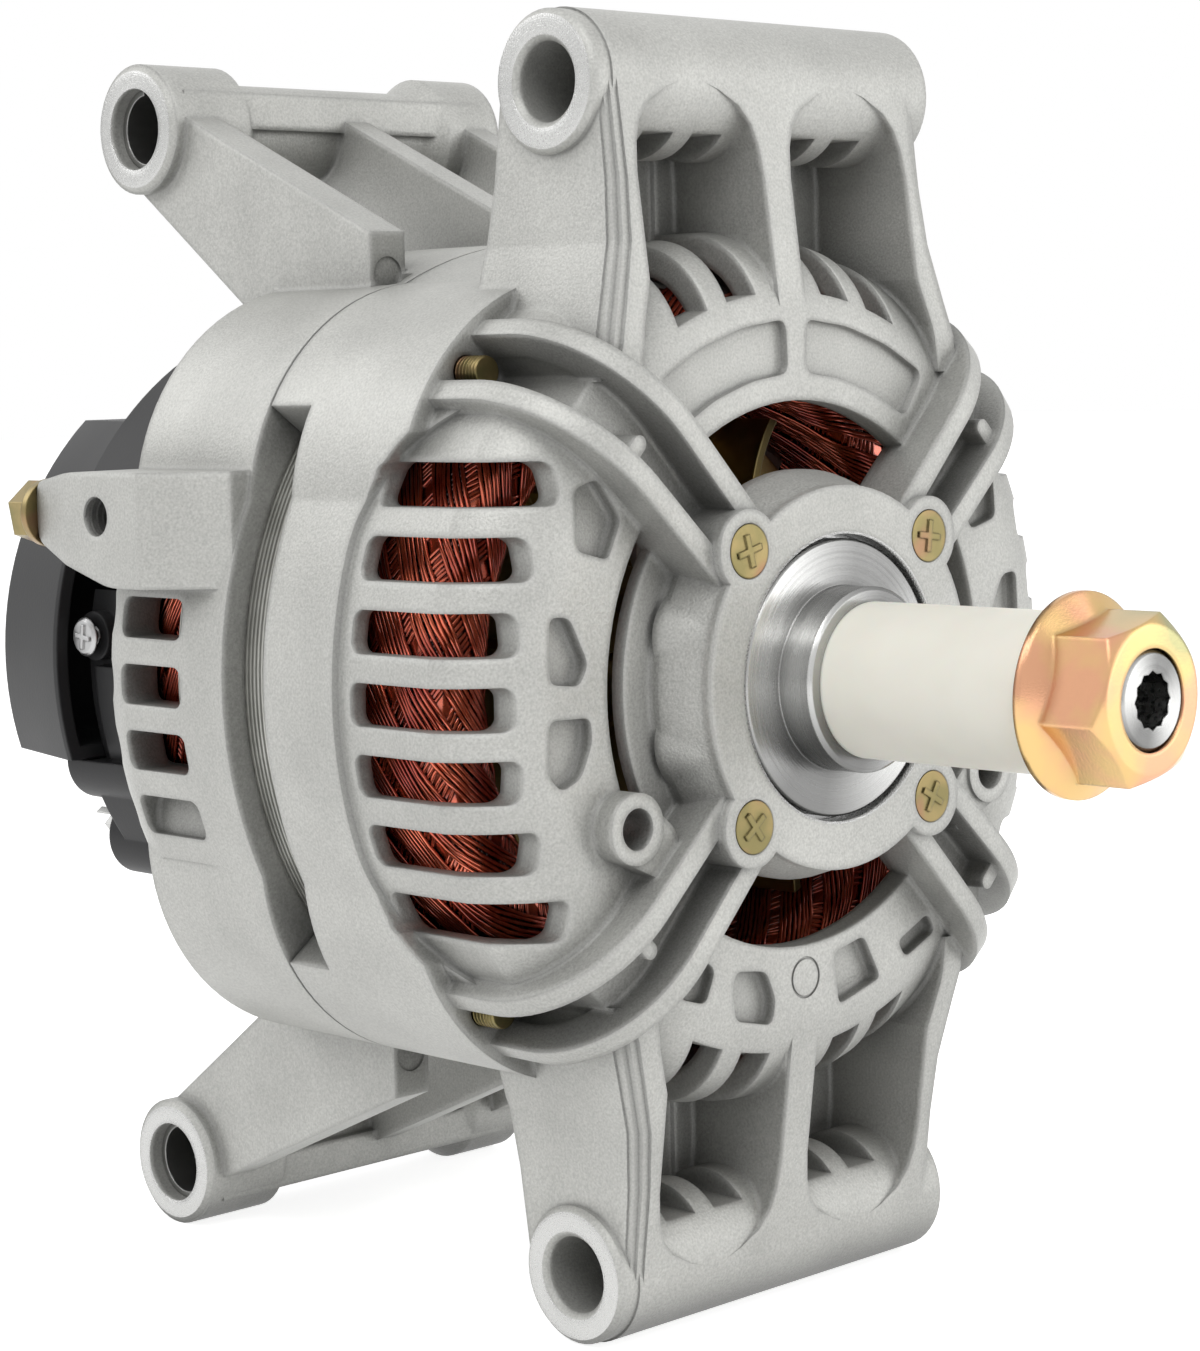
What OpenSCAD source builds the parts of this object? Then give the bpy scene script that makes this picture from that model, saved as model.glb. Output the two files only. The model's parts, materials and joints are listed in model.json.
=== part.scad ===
// Heavy-duty vehicle alternator with two-tube mounts, built as it comes apart on a bench.
// The shaft lies along Y with its nut towards -Y, the mount tubes lie along X and +Z is up.
// The origin is on the shaft axis, at the collar face that a pulley is clamped against.

/* [Housing] */
// Outer radius of both end shields
shell_r = 74.5; // [72:0.5:78]
// Wall of the castings
shell_wall = 4.5; // [4:0.5:6]
// Plane where the two shields meet
split_y = 77; // [74:0.5:80]
// Gap left between the two shields
split_gap = 0.6; // [0.3:0.1:1]
// Front face of the drive end shield
de_face_y = 15.5; // [14:0.5:17]
// Shoulder radius of the drive end shield
de_corner_r = 18; // [14:1:20]
// Rear face of the slip ring end shield
se_face_y = 119.3; // [117:0.5:122]
// Shoulder radius of the slip ring end shield
se_corner_r = 16; // [12:1:18]
// Radius of the fan windows round the hub
window_r = 46; // [43:1:48]
// Height of a cooling slot
slot_h = 7; // [5:0.5:8]
// Spacing of the cooling slots
slot_pitch = 11.5; // [10:0.5:12]
// Number of cooling slots on each flank
slot_count = 7; // [5:2:7]
// How far the cooling slots reach in from the flank
slot_reach = 10.5; // [8:0.5:12]
// Rear end of the slots in the drive end shield's flanks
slot_end_y = 46; // [40:0.5:47]
// Rear end of the slots under the front mounts
arch_slot_end_y = 41; // [36:0.5:43]
// Rear edge of the sunk vent panels
panel_end_y = 49; // [47:0.5:52]
// Half angle of the arc window that shows the stator core
core_window_angle = 37; // [25:1:40]
// Width of the arc window that shows the stator core
core_window_w = 10.5; // [6:0.5:12]

/* [Spokes and hub] */
// Front face of the hub
hub_face_y = 6.2; // [5:0.2:8]
// Outer radius of the hub
hub_r = 32; // [31:0.5:34]
// Radius of the hub opening round the collar
hub_bore_r = 23.95; // [23.6:0.05:24.5]
// Pitch circle radius of the retainer screws
retainer_pcr = 31.6; // [30.5:0.1:33]
// Radius of each screw lobe on the hub
lobe_r = 6.8; // [6:0.1:8]
// Front crest of the spoke ribs
rib_crest_y = 8; // [7:0.5:10]
// Distance of a rib from the spoke's centre line at the hub
rib_offset = 5.4; // [5:0.1:7]
// How far the ribs spread apart by the rim
rib_spread = 1.6; // [0:0.2:3]
// Thickness of a spoke rib
rib_w = 3.8; // [3:0.2:5]
// Radius that the ribs reach on the flank
rib_side_r = 77; // [76:0.5:78]
// Radius of the ribs' bend over the shoulder
rib_corner_r = 23; // [18:1:25]

/* [Mounts] */
// Height of the mount tubes above and below the shaft
tube_z = 98; // [94:1:104]
// Radius of the mount tubes
tube_r = 12; // [11:0.25:13]
// Shaft-wise place of the front mount tubes
front_tube_y = 33.1; // [31:0.1:36]
// Shaft-wise place of the rear mount tubes
rear_tube_y = 146; // [140:0.5:150]
// Left end of the front tubes
front_tube_x0 = -40; // [-44:0.5:-39]
// Right end of the front tubes
front_tube_x1 = 42; // [40:0.5:48]
// Bolt bore radius of the front tubes
front_bore_r = 6.5; // [5.5:0.25:8]
// Left end of the rear tubes
rear_tube_x0 = -38; // [-42:0.5:-37]
// Right end of the rear tubes
rear_tube_x1 = 43; // [42:0.5:48]
// Radius of the bushing seat in the rear tubes
rear_seat_r = 7.5; // [7:0.25:9]
// Bolt bore radius of the slide bushings
bushing_bore_r = 6.35; // [5.5:0.05:6.8]
// Length of a slide bushing
bushing_len = 17; // [12:1:18]
// Distance of the slide bushing from the tube's end
bushing_inset = 3; // [1:0.5:5]
// Width of the front mount's outer walls
mount_half_w = 38; // [36:0.5:39]
// Thickness of the front mount's outer walls
mount_wall = 5; // [4:0.5:7]
// Radius of the threaded hole in the ear
ear_hole_r = 3.4; // [3:0.1:4]

/* [Shaft] */
// Front end of the shaft
shaft_y0 = -56; // [-60:0.5:-52]
// Radius of the threaded end
thread_r = 8; // [7:0.5:8.5]
// Radius of the pulley seat
seat_r = 8.5; // [8.5:0.1:9]
// Radius of the rotor seat
rotor_seat_r = 11; // [10.5:0.5:12]
// Rear end of the shaft
shaft_y1 = 156; // [154:0.5:158]
// Outer radius of the shipping sleeve
sleeve_r = 12.95; // [12:0.05:14]
// Rear face of the nut, where the sleeve begins
nut_seat_y = -41.9; // [-44:0.1:-40]
// Width of the nut across its flats
nut_af = 24; // [22:0.5:26]
// Radius of the nut's flange
nut_flange_r = 16.3; // [15:0.1:18]
// Turn of the nut about the shaft
nut_turn = -13; // [-30:1:30]
// Radius of the collar's boss
collar_boss_r = 15.4; // [14:0.1:17]
// Radius of the collar's flange
collar_flange_r = 23.15; // [22:0.05:23.4]
// Front face of the collar's flange
collar_flange_y = 6.8; // [6:0.1:8]

/* [Bearings] */
// Front face of the drive end bearing
de_bearing_y = 10.2; // [9.8:0.1:11]
// Width of the drive end bearing
de_bearing_w = 15; // [13:0.5:16]
// Bore radius of the drive end bearing
de_bearing_bore_r = 10; // [9.5:0.5:10.5]
// Outer radius of the drive end bearing
de_bearing_r = 26; // [25:0.5:26.5]
// Ball radius of the drive end bearing
de_ball_r = 4.76; // [4:0.01:5]
// Number of balls in the drive end bearing
de_balls = 7; // [6:1:8]
// Front face of the slip ring end bearing
se_bearing_y = 112; // [111.5:0.1:112.5]
// Width of the slip ring end bearing
se_bearing_w = 11; // [10:0.5:12]
// Bore radius of the slip ring end bearing
se_bearing_bore_r = 7.5; // [7:0.5:8]
// Outer radius of the slip ring end bearing
se_bearing_r = 17.5; // [17:0.5:19]
// Ball radius of the slip ring end bearing
se_ball_r = 2.97; // [2.5:0.01:3.2]
// Number of balls in the slip ring end bearing
se_balls = 8; // [7:1:9]
// Wall of the plastic sleeve round the slip ring end bearing
bearing_sleeve_wall = 1.5; // [1:0.25:2]

/* [Rotor] */
// Outer radius of the claw poles
rotor_r = 49.5; // [48:0.1:49.7]
// Front face of the front claw pole
pole_y0 = 50; // [49:0.5:52]
// Rear face of the rear claw pole
pole_y1 = 104; // [102:0.5:105]
// Thickness of a claw pole's disc
pole_disc = 12; // [10:0.5:14]
// Number of claws on each pole
claws = 6; // [6:1:8]
// Width of a claw at its root
claw_root_w = 24; // [16:0.5:26]
// Width of a claw at its tip
claw_tip_w = 10; // [7:0.5:12]
// Outer radius of the field coil
coil_r = 35; // [32:0.5:36]
// Outer radius of the front fan
front_fan_r = 45; // [40:0.5:46]
// Height of the front fan's blades
front_blade_h = 15; // [10:0.5:16]
// Number of blades on each fan
fan_blades = 11; // [7:1:13]
// Outer radius of the rear fan
rear_fan_r = 44; // [40:0.5:46]
// Height of the rear fan's blades
rear_blade_h = 6; // [4:0.5:7]
// Gauge of the fans' sheet
fan_gauge = 1.6; // [1:0.1:2]
// Outer radius of the slip rings
ring_r = 13.5; // [12:0.25:14]
// Width of a slip ring
ring_w = 8; // [6:0.5:9]
// Front edge of the inner slip ring
inner_ring_y = 130; // [128:0.5:132]
// Front edge of the outer slip ring
outer_ring_y = 143; // [141:0.5:145]

/* [Stator] */
// Outer radius of the stator core
core_r = 69.6; // [68:0.1:70]
// Bore radius of the stator core
core_bore_r = 50; // [50:0.1:51]
// Front face of the stator core
core_y0 = 58; // [56:0.5:60]
// Length of the stator core
core_len = 38; // [34:0.5:40]
// Number of winding slots
stator_slots = 36; // [24:12:48]
// Width of a winding slot
stator_slot_w = 4.4; // [3.5:0.1:4.8]
// Thickness of the core's ring behind its slots
stator_yoke = 7.6; // [6:0.1:10]
// Thickness of the slot insulation
liner_t = 0.4; // [0.3:0.05:0.6]
// How far the end turns lie inside the core's rim
crown_rim = 5.1; // [4:0.1:7]
// Inner radius of the winding's end turns
crown_bore_r = 52; // [51.5:0.5:54]
// Reach of the end turns in front of the core
crown_front = 22; // [16:0.5:24]
// Reach of the end turns behind the core
crown_rear = 16; // [12:0.5:17]

/* [Brushes] */
// Width of a brush across the shaft
brush_w = 6; // [5:0.5:7]
// Thickness of a brush along the shaft
brush_t = 5; // [4:0.5:6]
// Length of a brush
brush_len = 15; // [12:0.5:17]
// Gap between a brush and its slip ring
brush_gap = 0.3; // [0.2:0.05:0.4]
// Length of a brush spring
spring_len = 11; // [9:0.5:13]
// Wire radius of a brush spring
spring_wire_r = 0.35; // [0.3:0.05:0.5]
// Number of turns in a brush spring
spring_turns = 6; // [4:1:8]

/* [Rear end] */
// Radius of the rear cover
cover_r = 63.5; // [62:0.5:65]
// Wall of the rear cover
cover_wall = 2.5; // [2:0.25:3]
// Front edge of the rear cover
cover_y0 = 119.3; // [117:0.5:122]
// Rear face of the cover's dome
cover_dome_y = 142; // [140:0.5:145]
// Rear face of the cover's bulge
cover_bulge_y = 166; // [162:0.5:170]
// Radius of the bulge at its rear face
cover_bulge_r = 57.8; // [55:0.2:60]
// Top of the bulge
bulge_z1 = 44.1; // [40:0.5:48]
// Bottom of the bulge, where the regulator begins
bulge_z0 = -17.5; // [-20:0.5:-17]
// Right side of the bulge
bulge_x1 = 20; // [18:0.5:26]
// Rear face of the regulator
regulator_y1 = 150; // [146:0.5:152]
// Outer radius of the regulator
regulator_r = 59.5; // [56:0.5:62]
// Thickness of the rectifier plates
plate_t = 4; // [3:0.5:5]
// Distance between the rectifier plates
plate_gap = 8; // [7:0.5:9]
// Radius of a diode
diode_r = 6; // [5:0.25:6.5]
// Thread radius of the output stud
stud_r = 4; // [3:0.5:4]
// Outer end of the output stud
stud_y1 = 162; // [158:0.5:166]

/* [Fasteners] */
// Shank radius of the through bolts
bolt_r = 2.5; // [2:0.25:3]
// Gap between the through bolts and the stator core
bolt_core_gap = 1.4; // [1:0.1:2]
// Front end of the through bolts
bolt_y0 = 35; // [32:0.5:38]
// Clearance round a bolt or screw in its hole
hole_gap = 0.25; // [0.1:0.05:0.4]
// Shank radius of the small screws
screw_r = 2.5; // [2:0.25:3]
// Head radius of the retainer screws
screw_head_r = 4.4; // [4:0.1:5]

/* [Hidden] */
$fn = 64;

// Small clearances that parts on one body are built with
fit = 0.05;
// Overshoot of a cut beyond the face that it opens
cut = 1;
// Angles of the four spokes and of the four through bolts
DIAGONALS = [45, 135, 225, 315];

shell_in_r = shell_r - shell_wall;
slot_inner_r = shell_r - slot_reach;
stator_slot_h = core_r - core_bore_r - stator_yoke;
crown_r = min(core_r, shell_in_r) - crown_rim;
bolt_circle_r = core_r + bolt_core_gap + bolt_r;
de_bearing_y1 = de_bearing_y + de_bearing_w;
de_pitch_r = (de_bearing_bore_r + de_bearing_r) / 2;
se_bearing_y1 = se_bearing_y + se_bearing_w;
se_pitch_r = (se_bearing_bore_r + se_bearing_r) / 2;
core_y1 = core_y0 + core_len;
core_seat_r = core_r + fit;
retainer_t = 3;
hub_rear_y = de_bearing_y1;
lug_r = bolt_circle_r + bolt_r + 3;
lug_y0 = bolt_y0 + 5;
lug_y1 = se_face_y - 10;
lug_floor_r = bolt_circle_r - bolt_r - 4;
bolt_bed_half_w = 8.5;
bolt_head_r = 4.25;
bolt_head_y = lug_y1 - 6;
boss_x = 44.2;
boss_z = -20.5;
boss_y = 11;
boss_r = 5.8;
boss_hole_r = 3.4;
panel_half_z = 48;
panel_round_r = 24;
panel_depth = 1.2;
lug_round_r = 40;
mount_rib_w = 6.4;
mount_front_round = 4;
tube_chamfer = 1;
tube_ring_len = 4;
tube_ring_step = 0.35;
hub_floor_r = 40.5;
eject_r = 3.2;
eject_depth = 0.35;
mount_back_y = front_tube_y + tube_r;
mount_back_t = 5;
se_hub_r = se_bearing_r + bearing_sleeve_wall + 4;
ear_x = -(shell_r + 6);
ear_y = 103;
ear_z = 29;
ground_x = -(shell_r + 0.5);
ground_y1 = 123;
coil_y0 = pole_y0 + pole_disc + 1;
coil_y1 = pole_y1 - pole_disc - 1;
neg_plate_y = se_face_y;
pos_plate_y = neg_plate_y + plate_t + plate_gap;
plate_r0 = 30;
plate_r1 = 57;
plate_a0 = -22;
plate_a1 = 160;
diode_circle_r = 41;
cover_screw_circle_r = 55;
cover_screw_head_r = 4.5;
reg_screw_circle_r = 46;
reg_screw_r = 2;
reg_screw_head_r = 3.6;
reg_screw_a0 = 211;
reg_screw_a1 = 246;
side_screw_y = 136;
side_screw_z = 5.5;
stud_angle = -8;
stud_circle_r = 47;
brush_floor_z = -(ring_r + brush_gap);
spring_top_z = brush_floor_z - brush_len;
holder_floor_z = spring_top_z - spring_len;
holder_y0 = 126.5;
holder_y1 = 154;

// Shared drawing aids

// Rectangle with rounded corners, given by its two opposite corners
module rounded(a0, b0, a1, b1, r) {
    translate([a0 + r, b0]) square([a1 - a0 - 2 * r, b1 - b0]);
    translate([a0, b0 + r]) square([a1 - a0, b1 - b0 - 2 * r]);
    for (a = [a0 + r, a1 - r], b = [b0 + r, b1 - r]) translate([a, b]) circle(r);
}

// Outline whose corners are rounded over a given reach along each side
function eased(points, reach) = [for (i = [0:len(points) - 1], t = [0:0.25:1])
    let (p = points[i], before = points[(i + len(points) - 1) % len(points)] - p,
        after = points[(i + 1) % len(points)] - p)
    p + before / norm(before) * reach * pow(1 - t, 2) + after / norm(after) * reach * pow(t, 2)];

// Outline of a ring sector, its arcs in steps of about ten degrees
function sector_outline(r0, r1, a0, a1) = let (n = max(1, round((a1 - a0) / 10))) concat(
    [for (i = [0:n]) r1 * [cos(a0 + (a1 - a0) * i / n), sin(a0 + (a1 - a0) * i / n)]],
    [for (i = [n:-1:0]) r0 * [cos(a0 + (a1 - a0) * i / n), sin(a0 + (a1 - a0) * i / n)]]);

// Front view of a casting's lug round a through bolt, which swells out of the shell
module lug_plan() {
    translate([lug_r - lug_round_r, 0]) circle(lug_round_r);
}

// Extrudes a front view, drawn as X and Z, from y0 to y1
module slab(y0, y1) {
    translate([0, y1, 0]) rotate([90, 0, 0]) linear_extrude(height = y1 - y0) children();
}

// Extrudes a side view, drawn as Y and Z, from x0 to x1
module side_slab(x0, x1) {
    translate([x0, 0, 0]) rotate([90, 0, 90]) linear_extrude(height = x1 - x0) children();
}

// Turns a profile, drawn as radius and Y, about the shaft
module spun() {
    rotate([90, 0, 0]) rotate_extrude() mirror([0, 1]) children();
}

// Ring of the profile between two radii and two Y values
module ring_y(r0, r1, y0, y1) {
    spun() translate([r0, y0]) square([r1 - r0, y1 - y0]);
}

// Round bar along Y
module rod_y(r, y0, y1, x = 0, z = 0) {
    translate([x, y1, z]) rotate([90, 0, 0]) cylinder(r = r, h = y1 - y0);
}

// Round bar along X
module rod_x(r, x0, x1, y = 0, z = 0) {
    translate([x0, y, z]) rotate([0, 90, 0]) cylinder(r = r, h = x1 - x0);
}

// Mount tube along X with chamfered ends, the left one turned down over a short length
module tube(r, x0, x1, y, z, ring_len) {
    rod_x(r, x0 + ring_len, x1 - tube_chamfer, y, z);
    rod_x(r - tube_ring_step, x0 + tube_chamfer, x0 + ring_len + cut, y, z);
    translate([x0, y, z]) rotate([0, 90, 0]) cylinder(r1 = r - tube_ring_step - tube_chamfer,
        r2 = r - tube_ring_step, h = tube_chamfer);
    translate([x1, y, z]) rotate([0, -90, 0])
        cylinder(r1 = r - tube_chamfer, r2 = r, h = tube_chamfer);
}

// Hexagonal bar along Y
module hex_y(af, y0, y1, x = 0, z = 0, turn = 0) {
    translate([x, y1, z]) rotate([90, turn, 0]) cylinder(d = af / cos(30), h = y1 - y0, $fn = 6);
}

// Flat ring sector in the front view
module sector(r0, r1, a0, a1) {
    steps = 12;
    far = 2 * r1;
    intersection() {
        difference() {
            circle(r1);
            circle(r0);
        }
        polygon(concat([[0, 0]], [for (i = [0:steps])
            far * [cos(a0 + (a1 - a0) * i / steps), sin(a0 + (a1 - a0) * i / steps)]]));
    }
}

// Copies children to a polar place in the front view
module at_polar(r, a) {
    translate([r * cos(a), r * sin(a)]) children();
}

// Half outline of a bell with a rounded shoulder, open towards larger Y
module bell_outline(face_y, side_r, corner_r, end_y) {
    translate([0, face_y]) square([side_r - corner_r, end_y - face_y]);
    translate([0, face_y + corner_r]) square([side_r, end_y - face_y - corner_r]);
    translate([side_r - corner_r, face_y + corner_r]) circle(corner_r);
}

// Radial strip along one spoke in the front view
module spoke_strip(s0, s1, u0, u1) {
    translate([s0, u0]) square([s1 - s0, u1 - u0]);
}

// Drive end shield, the ribbed and vented casting that faces the pulley

// Space inside the drive end shield, with thick ground left behind the bolt channels
module de_cavity() {
    difference() {
        spun() bell_outline(de_face_y + shell_wall, shell_in_r, de_corner_r - shell_wall,
            core_y0 - 4);
        for (a = DIAGONALS) slab(de_face_y, core_y0 + cut) rotate(a)
            translate([lug_floor_r - 2, -bolt_bed_half_w]) square([lug_r, 2 * bolt_bed_half_w]);
    }
    ring_y(0, core_seat_r, core_y0, split_y + cut);
    ring_y(0, core_r - 2, core_y0 - 5, core_y0 + cut);
}

// Cooling slots through both flanks, rounded at their front and rear ends
module de_slots() {
    side_z = (slot_count - 1) / 2 * slot_pitch;
    intersection() {
        slab(-cut, slot_end_y + cut) for (flip = [0, 1], z = [-side_z:slot_pitch:side_z])
            mirror([flip, 0]) rounded(sqrt(pow(slot_inner_r, 2) - z * z), z - slot_h / 2, 90,
                z + slot_h / 2, 2);
        side_slab(-90, 90) for (z = [-side_z:slot_pitch:side_z])
            rounded(-5, z - slot_h / 2, slot_end_y, z + slot_h / 2, 2);
    }
    difference() {
        slab(-cut, arch_slot_end_y) for (x = [-2, -1, 1, 2], flip = [0, 1]) mirror([0, flip])
            translate([x * slot_pitch - slot_h / 2, 30]) square([slot_h, 60]);
        rod_y(slot_inner_r, -2 * cut, arch_slot_end_y + cut);
    }
}

// Shallow step that sets each vent panel back from the skirt round it
module panel_steps() {
    difference() {
        side_slab(-90, 90) rounded(-panel_round_r, -panel_half_z, panel_end_y, panel_half_z,
            panel_round_r);
        ring_y(0, shell_r - panel_depth, -2 * panel_round_r, panel_end_y + cut);
    }
}

// Side view of the front mount, with its front edge set back by front_y
module mount_side(front_y, foot_z) {
    polygon([[de_face_y + front_y, foot_z], [de_face_y + front_y, foot_z + 6],
        [front_tube_y - tube_r + front_y / 2, tube_z], [mount_back_y, tube_z],
        [mount_back_y + 4, tube_z - 28], [mount_back_y + 4, foot_z]]);
}

// Front view of the mount's block, which flares towards the shell
module mount_plan(inset) {
    for (flip = [0, 1]) mirror([flip, 0]) polygon([[0, 50], [0, tube_z],
        for (p = [[0, tube_z], [0, 82], [0.8, 72], [3.5, 62], [7, 50]])
        [mount_half_w + p[0] - inset, p[1]]]);
}

// Flare of a wall where it runs out on the tube: widening and height below the tube's axis
function flare() = [[0, -15], [0.6, -10], [1.8, -6.5], [4.3, -3.5], [8.8, -1]];

// Front view of the two pockets, open up to the tube on either side of the centre rib
module mount_pockets() {
    rib_x = mount_rib_w / 2;
    wall_x = mount_half_w - mount_wall;
    for (flip = [0, 1]) mirror([flip, 0]) polygon(concat([[rib_x, 40]],
        [for (f = flare()) [rib_x + f[0], tube_z + f[1]]],
        [[(rib_x + wall_x) / 2, tube_z + 1]],
        [for (i = [4:-1:0]) [wall_x - flare()[i][0], tube_z + flare()[i][1]]],
        [[wall_x, 66], [wall_x + 2.5, 58], [wall_x + 5, 40]]));
}

// Block of the front mount with the outer edges of its front rounded in fine steps
module mount_block() {
    r = mount_front_round;
    for (deep = [0.2, 1, 2.2, r]) intersection() {
        side_slab(-60, 60) mount_side(deep - 0.2, 50);
        slab(0, mount_back_y + 5) mount_plan(r - sqrt(r * r - pow(r - deep, 2)));
    }
}

// Upper mount: tube, two outer walls, centre rib and back wall, with two open pockets
module front_mount() {
    tube(tube_r, front_tube_x0, front_tube_x1, front_tube_y, tube_z, tube_ring_len);
    difference() {
        mount_block();
        slab(-cut, mount_back_y - mount_back_t) mount_pockets();
    }
    for (side = [-1, 1]) intersection() {
        side_slab(-12, 12) mount_side(1.5, 56);
        slab(0, mount_back_y) polygon([[side * 3, 56], [side * 6.5, 56], [side * 4.4, 62],
            [side * 3, 70]]);
    }
}

// Ribs of one spoke, cross web between them and floor that closes the spoke towards the rotor
module spoke_plan() {
    for (side = [-1, 1]) polygon([
        [hub_r - 3, side * (rib_offset - rib_w / 2)],
        [lug_r + 1, side * (rib_offset + rib_spread - rib_w / 2)],
        [lug_r + 1, side * (rib_offset + rib_spread + rib_w / 2)],
        [hub_r - 3, side * (rib_offset + rib_w / 2)]]);
}

// Short stub on the rib nearer the vent panel, reaching into the channel between the ribs
module spoke_nub() {
    slab(rib_crest_y + 2.5, de_face_y + 1) {
        spoke_strip(57, 59.8, 1.6, rib_offset);
        translate([58.4, 1.6]) circle(1.4);
    }
}

module spokes() {
    intersection() {
        slab(0, lug_y0 + 6) for (a = DIAGONALS) rotate(a) spoke_plan();
        spun() difference() {
            bell_outline(rib_crest_y, rib_side_r, rib_corner_r, lug_y0 + 6);
            bell_outline(de_face_y + 2.5, shell_r - 2.5, de_corner_r - 2.5, lug_y0 + 7);
        }
    }
    slab(de_face_y, de_face_y + shell_wall) for (a = DIAGONALS) rotate(a)
        spoke_strip(hub_r - 3, window_r + 4, -rib_offset - rib_w / 2, rib_offset + rib_w / 2);
    for (a = DIAGONALS) rotate([0, -a, 0]) mirror([0, 0, (a == 135 || a == 315) ? 0 : 1])
        spoke_nub();
}

// Hub with a screw lobe at each spoke
module de_hub() {
    slab(hub_face_y, hub_rear_y) {
        circle(hub_r);
        for (a = DIAGONALS) at_polar(retainer_pcr, a) circle(lobe_r);
    }
    spun() polygon([[hub_r - 1, hub_face_y + 2], [hub_r, hub_face_y + 2], [hub_r + 2.5, de_face_y],
        [hub_r + 2.5, de_face_y + 2], [hub_r - 1, de_face_y + 6]]);
    for (flip = [0, 1], a = [162, 198]) mirror([flip, 0, 0]) {
        translate([(hub_r - 4) * cos(a), hub_face_y + 1, (hub_r - 4) * sin(a)])
            rotate([-90, 0, 0]) cylinder(r1 = 3.4, r2 = 8, h = de_face_y - hub_face_y);
    }
    slab(de_face_y + 2, de_face_y + shell_wall) for (a = [0, 180])
        sector(hub_r - 1, hub_floor_r, a - 36, a + 36);
}

// Outlines of the cast recesses beside a vent panel, of those in the lower arch, and the
// boss's web, all in the front view of the left half
function panel_recesses() = [
    [[-51.6, 33.5], [-46.9, 35], [-41.9, 28.5], [-45, 22], [-51.9, 23.8]],
    [[-57.9, 13.9], [-53.8, 13.6], [-49.9, 6], [-51.9, 2.6], [-58.3, 3.4]],
    [[-58.5, -2.2], [-49.7, -2.5], [-49.4, -6.5], [-52, -11.9], [-56.3, -13.6], [-58.8, -11.1]]];
function arch_recesses() = [
    [[-26.8, -43.7], [-22.5, -46.7], [-25, -52.3], [-30.9, -50.5]],
    [[-17.6, -47.9], [-10.2, -49], [-8, -54.1], [-9, -58.4], [-17.8, -56.3], [-18.6, -51]],
    [[6.7, -48.3], [14.6, -46.5], [18.9, -54.5], [7.9, -57.6]],
    [[23.5, -48.8], [31.8, -45], [34, -48.4], [25.6, -52]]];
function boss_web() = [[-47, -25.5], [-49, -18], [-43, -15], [-34.5, -22], [-35, -31]];

// Cast recesses in the arches and beside the vent panels, and the ejector's ring mark below
module de_recesses() {
    slab(de_face_y - cut, de_face_y + 1.5) for (a = [57, 92.5])
        polygon(eased(sector_outline(50.5, 59.5, a, a + 30.5), 2));
    slab(de_face_y - cut, de_face_y + 2.4) {
        for (outline = arch_recesses()) polygon(eased(outline, 1.5));
        for (flip = [0, 1], outline = panel_recesses()) mirror([flip, 0])
            polygon(eased(outline, 1.5));
    }
    slab(de_face_y - cut, de_face_y + eject_depth) translate([-0.5, -51.5]) difference() {
        circle(3.6);
        circle(3.1);
    }
}

module drive_end_shield() {
    color("gainsboro") difference() {
        union() {
            difference() {
                union() {
                    spun() bell_outline(de_face_y, shell_r, de_corner_r, split_y);
                    front_mount();
                    mirror([0, 0, 1]) front_mount();
                    slab(lug_y0, split_y) for (a = DIAGONALS) rotate(a) lug_plan();
                }
                de_cavity();
                rod_y(window_r, de_face_y - cut, de_face_y + shell_wall + cut);
                de_slots();
                panel_steps();
                slab(-cut, lug_y0) for (a = DIAGONALS) rotate(a)
                    spoke_strip(lug_floor_r, 90, -rib_offset, rib_offset + rib_spread);
                slab(split_y - core_window_w, split_y + cut) for (flip = [0, 1]) mirror([flip, 0])
                    sector(core_r - 5, shell_r + 5, 180 - core_window_angle, 180 + core_window_angle);
                de_recesses();
            }
            de_hub();
            spokes();
            for (side = [-1, 1])
                rod_y(boss_r, boss_y, de_face_y + shell_wall, side * boss_x, boss_z);
            slab(boss_y + 0.6, de_face_y + shell_wall) for (flip = [0, 1]) mirror([flip, 0])
                polygon(eased(boss_web(), 2.4));
        }
        rod_y(hub_bore_r, hub_face_y - cut, de_bearing_y + cut);
        rod_y(de_bearing_r + 0.01, de_bearing_y, hub_rear_y + cut);
        for (a = DIAGONALS) {
            x = retainer_pcr * cos(a);
            z = retainer_pcr * sin(a);
            rod_y(screw_r + hole_gap, hub_face_y - cut, hub_rear_y + cut, x, z);
            translate([x, hub_face_y - fit, z]) rotate([-90, 0, 0])
                cylinder(r1 = screw_head_r + hole_gap, r2 = screw_r + hole_gap, h = 2.6);
            rod_y(bolt_r + hole_gap, lug_y0 - cut, split_y + cut,
                bolt_circle_r * cos(a), bolt_circle_r * sin(a));
        }
        for (side = [-1, 1])
            rod_y(boss_hole_r, boss_y - cut, de_face_y + shell_wall + cut, side * boss_x, boss_z);
        for (z = [-tube_z, tube_z]) {
            rod_x(front_bore_r, front_tube_x0 - cut, front_tube_x1 + cut, front_tube_y, z);
            translate([front_tube_x0 - 0.01, front_tube_y, z]) rotate([0, 90, 0])
                cylinder(r1 = front_bore_r + tube_chamfer, r2 = front_bore_r, h = tube_chamfer);
        }
    }
}

// Slip ring end shield, the rear casting with the bushed mount tubes and the ground ear

// Side view of a web of the rear mount
module rear_web() {
    polygon([[83, 50], [83, tube_z - 21.5], [rear_tube_y - 11, tube_z + 2],
        [rear_tube_y + 3, tube_z - 11], [se_face_y - 0.3, cover_r + 1.5], [se_face_y - 5, 50]]);
}

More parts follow.
